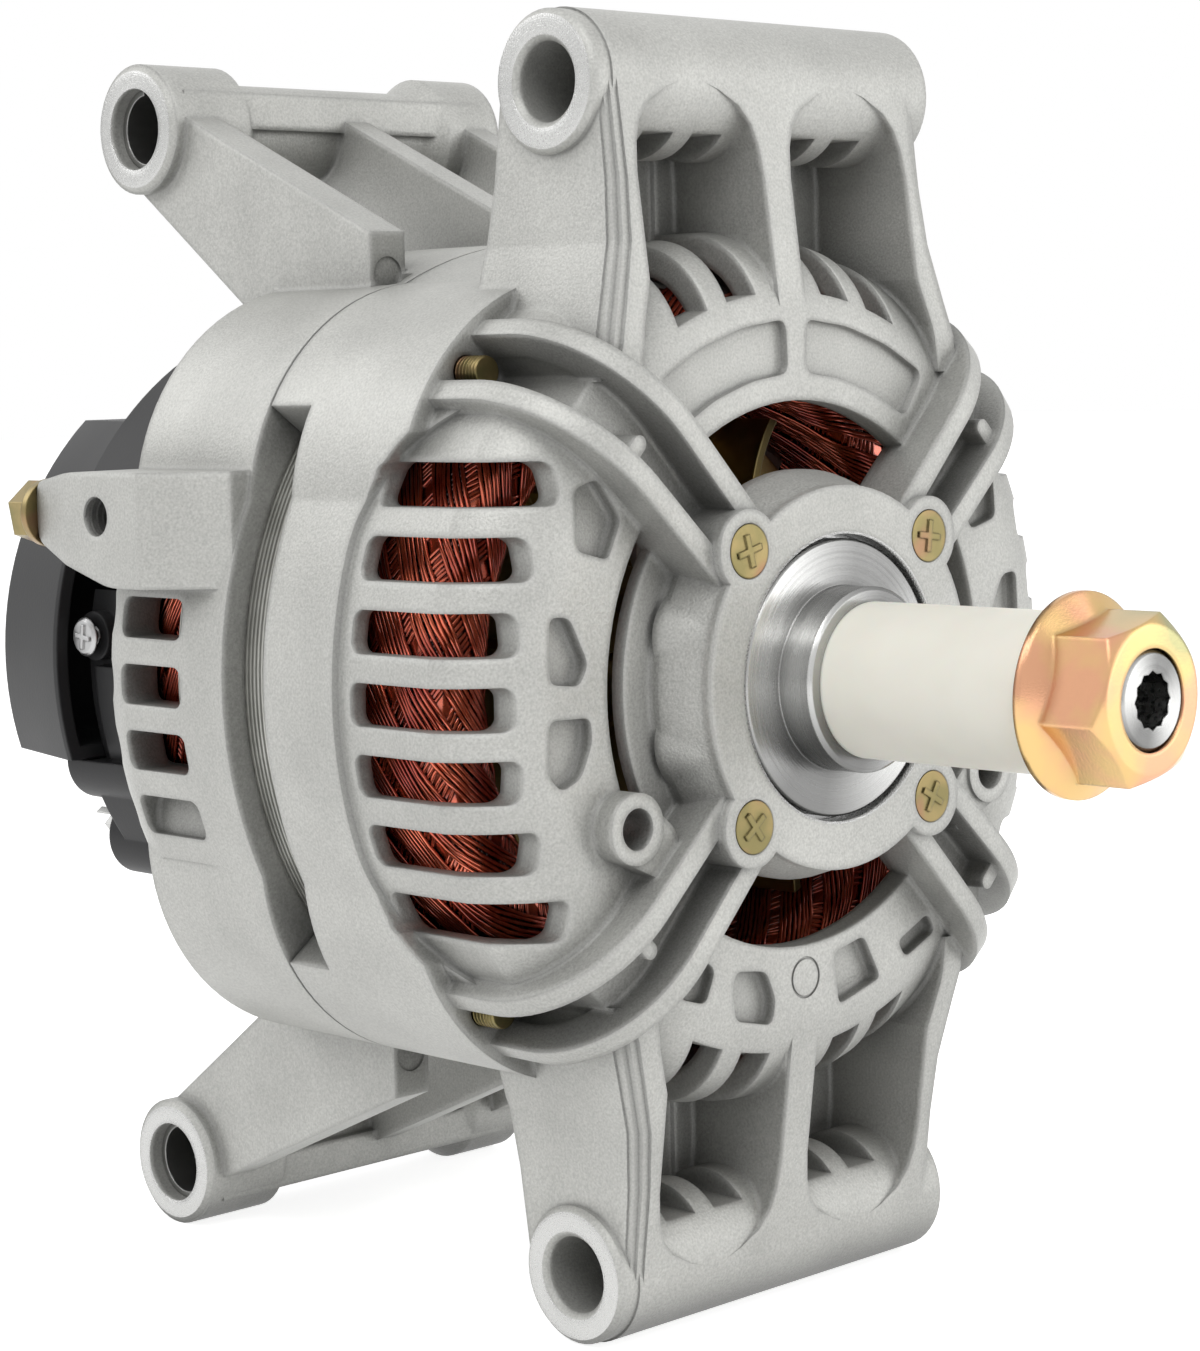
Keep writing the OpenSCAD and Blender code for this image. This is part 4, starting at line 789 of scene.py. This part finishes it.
    def copies(self, name: str, seats: list[Vector], piece: bpy.types.Object,
               first_turn: float = 0.0, turn_each: float = 0.0,
               facing: Facing = Facing.FRONT) -> bpy.types.Object:
        """Sets a copy of a piece on each seat.

        Args:
            name: Name of the result.
            seats: Where the copies go, in metres.
            piece: The piece at the origin, which is used up.
            first_turn: Turn of the first copy about Y, in degrees.
            turn_each: Further turn of each copy, in degrees.
            facing: Way that the copies face.

        Returns:
            The copies as one object.
        """
        points = bpy.data.meshes.new(name)
        points.from_pydata(seats, [], [])
        made = self.run(self.piece(name, points), self.copy_tree, Piece=piece,
                        First_Turn=math.radians(first_turn), Turn_Each=math.radians(turn_each),
                        Facing=math.radians(facing.value))
        bpy.data.objects.remove(piece)
        return made

    def wires(self, name: str, lines: list[list[Vector]], radius: float, sides: int
              ) -> bpy.types.Object:
        """Sweeps a round wire along each line.

        Args:
            name: Name of the result.
            lines: Points of each wire, in metres.
            radius: The wire's radius, in millimetres.
            sides: Sides of the wire's section.

        Returns:
            The wires as one object.
        """
        corners: list[Vector] = []
        edges: list[tuple[int, int]] = []
        for line in lines:
            first = len(corners)
            corners.extend(line)
            edges.extend((first + i, first + i + 1) for i in range(len(line) - 1))
        mesh = bpy.data.meshes.new(name)
        mesh.from_pydata(corners, edges, [])
        return self.run(self.piece(name, mesh), self.wire_tree, Wire_Radius=radius * MM,
                        Sides=sides)

    @staticmethod
    def cone(shape: bmesh.types.BMesh, radius_0: float, radius_1: float, y0: float, y1: float,
             sides: int = 48, turn: float = 0.0) -> None:
        """Adds a round or many-sided solid along Y at the origin.

        Args:
            shape: The mesh to add to.
            radius_0: Radius at y0, in millimetres.
            radius_1: Radius at y1, in millimetres.
            y0: Front end, in millimetres.
            y1: Rear end, in millimetres.
            sides: Number of sides.
            turn: Turn about Y, in degrees.
        """
        place = (Matrix.Translation((0, (y0 + y1) / 2 * MM, 0))
                 @ Matrix.Rotation(math.radians(turn), 4, "Y") @ ALONG_SHAFT)
        bmesh.ops.create_cone(shape, cap_ends=True, segments=sides, radius1=radius_0 * MM,
                              radius2=radius_1 * MM, depth=(y1 - y0) * MM, matrix=place)

    def cut(self, body: bpy.types.Object, tool: bpy.types.Object) -> bpy.types.Object:
        """Cuts a tool out of a body.

        Args:
            body: The piece to change.
            tool: The tool, which is used up.

        Returns:
            The changed piece.
        """
        modifier = body.modifiers.new("cut", "BOOLEAN")
        modifier.operation = "DIFFERENCE"
        modifier.object = tool
        modifier.solver = "EXACT"
        self.settle(body)
        bpy.data.objects.remove(tool)
        body.data.shade_smooth()
        body.data.set_sharp_from_angle(angle=SMOOTH_ANGLE)
        return body

    def ring(self, name: str, inner: float, outer: float, y0: float, y1: float, steps: int
             ) -> bpy.types.Object:
        """Makes a ring of square section about the shaft.

        Args:
            name: The object's name.
            inner: Inner radius, in millimetres.
            outer: Outer radius, in millimetres.
            y0: Front face, in millimetres.
            y1: Rear face, in millimetres.
            steps: Number of sides.

        Returns:
            The ring.
        """
        shape = bmesh.new()
        corners = ((inner, y0), (outer, y0), (outer, y1), (inner, y1))
        rows = [[shape.verts.new(polar(r, 360 * i / steps, y)) for r, y in corners]
                for i in range(steps)]
        for i, row in enumerate(rows):
            after = rows[(i + 1) % steps]
            for k in range(4):
                shape.faces.new((row[k], row[(k + 1) % 4], after[(k + 1) % 4], after[k]))
        return self.from_bmesh(name, shape)


class SubAssembly(ABC):
    """Piece or set of pieces that is added to the CAD frame."""

    @abstractmethod
    def build(self, shop: Workshop, wardrobe: Wardrobe) -> None:
        """Makes the pieces and sets them on their body.

        Args:
            shop: The mesh maker.
            wardrobe: The finishes.
        """


@dataclass
class ScrewSet(SubAssembly):
    """Equal screws with modelled heads, recesses and threads."""

    name: str
    replaced: str
    slot: str
    seats: tuple[Vector, ...]
    head: Head
    drive: Drive
    head_radius: float
    head_height: float
    shank_radius: float
    length: float
    facing: Facing = Facing.FRONT
    thread_pitch: float = 0.8
    first_turn: float = 8.0
    turn_each: float = 67.0

    def _blank(self, shop: Workshop) -> bpy.types.Object:
        """Returns the screw without its recess, its head's top at the origin, pointing to +Y."""
        shape = bmesh.new()
        core = self.shank_radius * 0.88
        if self.head is Head.COUNTERSUNK:
            shop.cone(shape, self.head_radius, self.head_radius, 0, 0.35)
            shop.cone(shape, self.head_radius, core, 0.34, self.head_height)
        else:
            shop.cone(shape, self.head_radius * 0.82, self.head_radius, 0, 0.7)
            shop.cone(shape, self.head_radius, self.head_radius, 0.69, self.head_height)
        shop.cone(shape, core, core, self.head_height * 0.9, self.length)
        return shop.from_bmesh(self.name + "_blank", shape)

    def _recess(self, shop: Workshop) -> bpy.types.Object:
        """Returns the tool that cuts the drive into the head."""
        reach = self.head_radius * 0.60
        if self.drive is Drive.CROSS:
            return self._cross(shop, reach)
        shape = bmesh.new()
        for turn in (0.0, 30.0):
            shop.cone(shape, reach * 0.8, reach * 0.8, -0.3, self.head_height * 0.7, 6, turn)
        return shop.from_bmesh(self.name + "_tool", shape)

    def _cross(self, shop: Workshop, reach: float) -> bpy.types.Object:
        """Returns a tapered cross.

        Args:
            shop: The mesh maker.
            reach: Half length of the cross's arms, in millimetres.
        """
        shape = bmesh.new()
        half = self.head_radius * 0.12
        rims = []
        for y, scale in ((-0.3, 1.06), (self.head_height * 0.9, 0.30)):
            a, b = reach * scale, half * (0.6 + 0.4 * scale)
            outline = ((b, b), (b, a), (-b, a), (-b, b), (-a, b), (-a, -b), (-b, -b), (-b, -a),
                       (b, -a), (b, -b), (a, -b), (a, b))
            rims.append([shape.verts.new(Vector((x, y, z)) * MM) for x, z in outline])
        count = len(rims[0])
        for i in range(count):
            k = (i + 1) % count
            shape.faces.new((rims[0][i], rims[0][k], rims[1][k], rims[1][i]))
        for rim in rims:
            shape.faces.new(rim)
        return shop.from_bmesh(self.name + "_tool", shape)

    def _thread(self, shop: Workshop) -> bpy.types.Object:
        """Returns the ridge wound round the shank."""
        turns = int((self.length - self.head_height) / self.thread_pitch)
        steps = 14
        line = [polar(self.shank_radius * 0.90, 360 * i / steps,
                      self.head_height + self.thread_pitch * i / steps)
                for i in range(turns * steps)]
        return shop.wires(self.name + "_thread", [line], self.shank_radius * 0.10, 4)

    def build(self, shop: Workshop, wardrobe: Wardrobe) -> None:
        """Makes the screws and their threads, and puts them in the CAD screws' places."""
        shape = bmesh.new()
        for half in (shop.cut(self._blank(shop), self._recess(shop)), self._thread(shop)):
            shape.from_mesh(half.data)
            bpy.data.objects.remove(half)
        one = shop.from_bmesh(self.name + "_one", shape)
        made = shop.copies(self.name, list(self.seats), one, self.first_turn, self.turn_each,
                           self.facing)
        wardrobe.dress(made, self.slot, "housing")
        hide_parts(self.replaced)


@dataclass
class Winding(SubAssembly):
    """Bundles of enamelled wire over the stator's end turns."""

    core_front: float = 58.0
    core_rear: float = 96.0
    crown_front: float = 36.0
    crown_rear: float = 112.0
    inner: float = 52.0
    outer: float = 64.5
    rounding: float = 4.0
    wire: float = 0.42
    bundles: int = 24
    wires: int = 8
    spread: float = 11.5
    travel: float = 78.0
    points: int = 30
    upper_lift: float = 0.62
    lower_lift: float = 0.05
    lower_share: float = 0.8
    seed: int = 11

    def _profile(self, depth: float, lift: float) -> list[tuple[float, float]]:
        """Section of the crown that the wires follow, from outside over its end to inside.

        Args:
            depth: Reach of the crown from the core, in millimetres.
            lift: Height above the crown's surface, in millimetres.

        Returns:
            Points of radius and distance from the core.
        """
        r = self.rounding
        bend = [math.radians(a) for a in (0.0, 30.0, 60.0, 90.0)]
        outer = [(self.outer - r + (r + lift) * math.cos(a),
                  depth - r + (r + lift) * math.sin(a)) for a in bend]
        inner = [(self.inner + r - (r + lift) * math.cos(a),
                  depth - r + (r + lift) * math.sin(a)) for a in reversed(bend)]
        return [(self.outer + lift, 1.0), (self.outer + lift, depth * 0.45), *outer, *inner,
                (self.inner - lift, depth * 0.5), (self.inner - lift, 1.5)]

    def _line(self, core: float, crown: float, offset: float, lift: float, travel: float,
              wobble: random.Random) -> list[Vector]:
        """Path of one wire from its slot over the crown and back inside it.

        Args:
            core: The core's face that the wire leaves.
            crown: The crown's far edge.
            offset: The wire's angle where it leaves the core, in degrees.
            lift: Height above the crown's surface, in millimetres.
            travel: Angle that it travels round the crown, in degrees.
            wobble: Source of its small bends.

        Returns:
            The path in metres.
        """
        way = 1.0 if crown > core else -1.0
        profile = self._profile(abs(crown - core), lift)
        lengths = [0.0]
        for (r0, a0), (r1, a1) in zip(profile, profile[1:]):
            lengths.append(lengths[-1] + math.hypot(r1 - r0, a1 - a0))
        line = []
        for i in range(self.points):
            share = i / (self.points - 1)
            gone = share * lengths[-1]
            k = max(j for j in range(len(profile) - 1) if lengths[j] <= gone)
            f = (gone - lengths[k]) / (lengths[k + 1] - lengths[k])
            radius = profile[k][0] * (1 - f) + profile[k + 1][0] * f
            along = profile[k][1] * (1 - f) + profile[k + 1][1] * f
            angle = offset + travel * share + wobble.uniform(-0.25, 0.25)
            line.append(polar(radius + wobble.uniform(-0.08, 0.10), angle, core + way * along))
        return line

    def build(self, shop: Workshop, wardrobe: Wardrobe) -> None:
        """Makes the bundles at both ends of the core."""
        wobble = random.Random(self.seed)
        for end, core, crown in (("front", self.core_front, self.crown_front),
                                 ("rear", self.core_rear, self.crown_rear)):
            lines = []
            for travel, lift in ((self.travel, self.upper_lift),
                                 (-self.travel * self.lower_share, self.lower_lift)):
                for k in range(self.wires):
                    offset = k * self.spread / self.wires + wobble.uniform(-0.3, 0.3)
                    lines.append(self._line(core, crown, offset, lift, travel, wobble))
            bundle = shop.wires(f"{end}_bundle", lines, self.wire, 5)
            seats = [Vector((0, 0, 0))] * self.bundles
            made = shop.copies(f"{end}_winding_strands", seats, bundle, 0.0, 360 / self.bundles)
            wardrobe.dress(made, "enamelled_copper", "housing")


@dataclass
class CoreSheets(SubAssembly):
    """Edges of the stator's stacked sheets, standing just proud of the core."""

    first: float = 58.2
    last: float = 95.8
    pitch: float = 1.05
    thick: float = 0.55
    inner: float = 69.2
    outer: float = 69.64

    def build(self, shop: Workshop, wardrobe: Wardrobe) -> None:
        """Makes the sheets' edges as one stack."""
        one = shop.ring("one_sheet", self.inner, self.outer, 0, self.thick, 120)
        count = int((self.last - self.first - self.thick) / self.pitch) + 1
        seats = [Vector((0, (self.first + i * self.pitch) * MM, 0)) for i in range(count)]
        made = shop.copies("core_sheet_edges", seats, one)
        wardrobe.dress(made, "lamination_steel", "housing")


@dataclass
class Threads(SubAssembly):
    """Visible screw threads, each a ridge wound along its shank or hole."""

    name: str
    slot: str
    centres: tuple[Vector, ...]
    radius: float
    ridge: float
    pitch: float
    start: float
    end: float
    along_x: bool = False

    def build(self, shop: Workshop, wardrobe: Wardrobe) -> None:
        """Winds the ridges."""
        steps = 20
        count = int((self.end - self.start) / self.pitch * steps)
        lines = []
        for centre in self.centres:
            line = []
            for i in range(count):
                p = polar(self.radius, 360 * i / steps, 0)
                way = (self.start + self.pitch * i / steps) * MM
                line.append(centre + (Vector((way, p.x, p.z)) if self.along_x
                                      else Vector((p.x, way, p.z))))
            lines.append(line)
        made = shop.wires(self.name, lines, self.ridge, 5)
        wardrobe.dress(made, self.slot, "housing")


@dataclass
class FieldTurns(SubAssembly):
    """Turns of wire on the rotor's field coil, seen between the claws."""

    first: float = 64.2
    last: float = 89.8
    wire: float = 0.6
    radius: float = 34.6

    def build(self, shop: Workshop, wardrobe: Wardrobe) -> None:
        """Winds the outer layer."""
        steps = 40
        pitch = self.wire * 2.05
        count = int((self.last - self.first) / pitch * steps)
        line = [polar(self.radius, 360 * i / steps, self.first + pitch * i / steps)
                for i in range(count)]
        made = shop.wires("field_coil_turns", [line], self.wire, 6)
        wardrobe.dress(made, "enamelled_copper", "rotor")


@dataclass(frozen=True)
class Lamp:
    """Square soft lamp that faces the object, in metres and watts."""

    name: str
    place: tuple[float, float, float]
    size: float
    watts: float

    def hang(self, target: Vector) -> None:
        """Adds the lamp to the scene.

        Args:
            target: The point that it faces.
        """
        data = bpy.data.lights.new(self.name, "AREA")
        data.size = self.size
        data.energy = self.watts
        lamp = link(bpy.data.objects.new(self.name, data))
        lamp.location = self.place
        aim = target - Vector(self.place)
        lamp.rotation_euler = aim.to_track_quat("-Z", "Y").to_euler()


@dataclass
class Studio:
    """Camera, soft lamps, pale floor and white surroundings."""

    azimuth: float = -44.214
    elevation: float = 5.734
    roll: float = -1.341
    distance: float = 0.538565
    aside: float = -0.027506
    above: float = -0.000632
    aim_y: float = 0.0248
    lens: float = 84.394
    floor_z: float = -0.110
    floor_half: float = 6.0
    floor_tone: float = 0.80
    soft_light: float = 0.55
    lamp_target: Vector = field(default_factory=lambda: Vector((0, 0.05, 0)))
    lamps: tuple[Lamp, ...] = (Lamp("key", (-0.60, -0.45, 0.98), 0.7, 6.0),
                               Lamp("fill", (0.75, -0.95, 0.25), 0.9, 4.0),
                               Lamp("back", (-0.5, 0.95, 0.7), 0.7, 3.0))

    def camera(self) -> None:
        """Sets the camera where the photograph was taken from."""
        a, e, r = (math.radians(v) for v in (self.azimuth, self.elevation, self.roll))
        back = Vector((math.sin(a) * math.cos(e), -math.cos(a) * math.cos(e), math.sin(e)))
        level = Vector((math.cos(a), math.sin(a), 0.0))
        upright = back.cross(level)
        right = math.cos(r) * level + math.sin(r) * upright
        up = -math.sin(r) * level + math.cos(r) * upright
        data = bpy.data.cameras.new("camera")
        data.lens = self.lens
        data.clip_start = 0.01
        camera = link(bpy.data.objects.new("camera", data))
        turn = Matrix((right, up, back)).transposed().to_4x4()
        place = (back * self.distance + right * self.aside + up * self.above
                 + Vector((0, self.aim_y, 0)))
        camera.matrix_world = Matrix.Translation(place) @ turn
        bpy.context.scene.camera = camera

    @staticmethod
    def _seen(g: Graph) -> Socket:
        """Returns 1 where a camera, glossy or transmission ray looks."""
        path = g.add("ShaderNodeLightPath")
        straight = g.maths("MAXIMUM", path.outputs["Is Camera Ray"], path.outputs["Is Glossy Ray"])
        return g.maths("MAXIMUM", straight, path.outputs["Is Transmission Ray"])

    def surroundings(self) -> None:
        """Makes the world white to the eye and softly bright to the object."""
        world = bpy.data.worlds.new("studio")
        bpy.context.scene.world = world
        world.use_nodes = True
        g = Graph(world.node_tree)
        world.node_tree.nodes.clear()
        soft = g.make("ShaderNodeBackground", {"Color": WHITE, "Strength": self.soft_light})
        white = g.make("ShaderNodeBackground", {"Color": WHITE, "Strength": 1.0})
        both = g.make("ShaderNodeMixShader", {0: self._seen(g), 1: soft, 2: white})
        g.fill(g.add("ShaderNodeOutputWorld"), {"Surface": both})

    def floor(self) -> None:
        """Lays a pale floor that keeps a faint shadow under the part."""
        mesh = bpy.data.meshes.new("floor")
        half = self.floor_half
        mesh.from_pydata([(-half, -half, self.floor_z), (half, -half, self.floor_z),
                          (half, half, self.floor_z), (-half, half, self.floor_z)], [],
                         [(0, 1, 2, 3)])
        floor = Workshop.piece("floor", mesh)
        material = bpy.data.materials.new("floor")
        material.use_nodes = True
        g = Graph(material.node_tree)
        matt = material.node_tree.nodes["Principled BSDF"]
        g.fill(matt, {"Base Color": rgba((self.floor_tone,) * 3), "Roughness": 0.9,
                      "Specular IOR Level": 0.1})
        lit = g.make("ShaderNodeEmission", {"Strength": self.floor_tone})
        dark = g.make("ShaderNodeEmission", {"Strength": 0.0})
        extra = g.make("ShaderNodeMixShader", {0: self._seen(g), 1: dark, 2: lit})
        both = g.make("ShaderNodeAddShader", {0: matt.outputs[0], 1: extra})
        g.fill(material.node_tree.nodes["Material Output"], {"Surface": both})
        mesh.materials.append(material)

    def build(self) -> None:
        """Sets up the studio."""
        bpy.context.scene.view_settings.view_transform = "Standard"
        self.camera()
        self.surroundings()
        self.floor()
        for lamp in self.lamps:
            lamp.hang(self.lamp_target)
        LOG.info("studio ready")


def sub_assemblies() -> list[SubAssembly]:
    """Returns the sub-assemblies that are added to the CAD frame, in order."""
    diagonals = (45.0, 135.0, 225.0, 315.0)
    bolt_circle = 73.5
    return [
        Winding(),
        CoreSheets(),
        FieldTurns(),
        ScrewSet("retainer_screw_set", "retainer_screws", "yellow_zinc",
                 tuple(polar(31.6, a, 6.2) for a in diagonals), Head.COUNTERSUNK, Drive.CROSS,
                 head_radius=4.4, head_height=2.4, shank_radius=2.5, length=23.0),
        ScrewSet("cover_screw_set", "cover_screws", "plain_zinc",
                 tuple(polar(55.0, a, 145.0) for a in (-28.0, 62.0, 100.0)), Head.PAN,
                 Drive.LOBED, head_radius=4.5, head_height=3.0, shank_radius=2.5, length=21.7,
                 facing=Facing.REAR),
        ScrewSet("regulator_screw_set", "regulator_screws", "plain_zinc",
                 tuple(polar(46.0, a, 154.5) for a in (211.0, 246.0)), Head.PAN,
                 Drive.LOBED, head_radius=3.6, head_height=2.5, shank_radius=2.0, length=14.5,
                 facing=Facing.REAR),
        ScrewSet("side_terminal_screw", "regulator_screws", "plain_zinc",
                 (Vector((-61.0, 136.0, 5.5)) * MM,), Head.PAN, Drive.CROSS, head_radius=3.6,
                 head_height=2.5, shank_radius=2.0, length=10.0, facing=Facing.LEFT),
        Threads("through_bolt_threads", "yellow_zinc",
                tuple(polar(bolt_circle, a, 0) for a in diagonals),
                radius=2.5, ridge=0.16, pitch=0.8, start=35.3, end=40.0),
        Threads("output_stud_thread", "yellow_zinc", (polar(47.0, -8.0, 0),),
                radius=4.0, ridge=0.22, pitch=1.25, start=150.0, end=161.5),
        Threads("ear_thread", "cast_aluminium", (Vector((0, 0.103, 0.029)),),
                radius=3.4, ridge=0.22, pitch=1.25, start=-80.2, end=-69.0, along_x=True),
    ]


def main() -> None:
    """Builds the studio, dresses the frame and adds every sub-assembly."""
    logging.basicConfig(level=logging.INFO, format="%(message)s")
    Studio().build()
    wardrobe = Wardrobe()
    wardrobe.dress_frame()
    shop = Workshop()
    for part in sub_assemblies():
        part.build(shop, wardrobe)


if __name__ == "__main__":
    main()
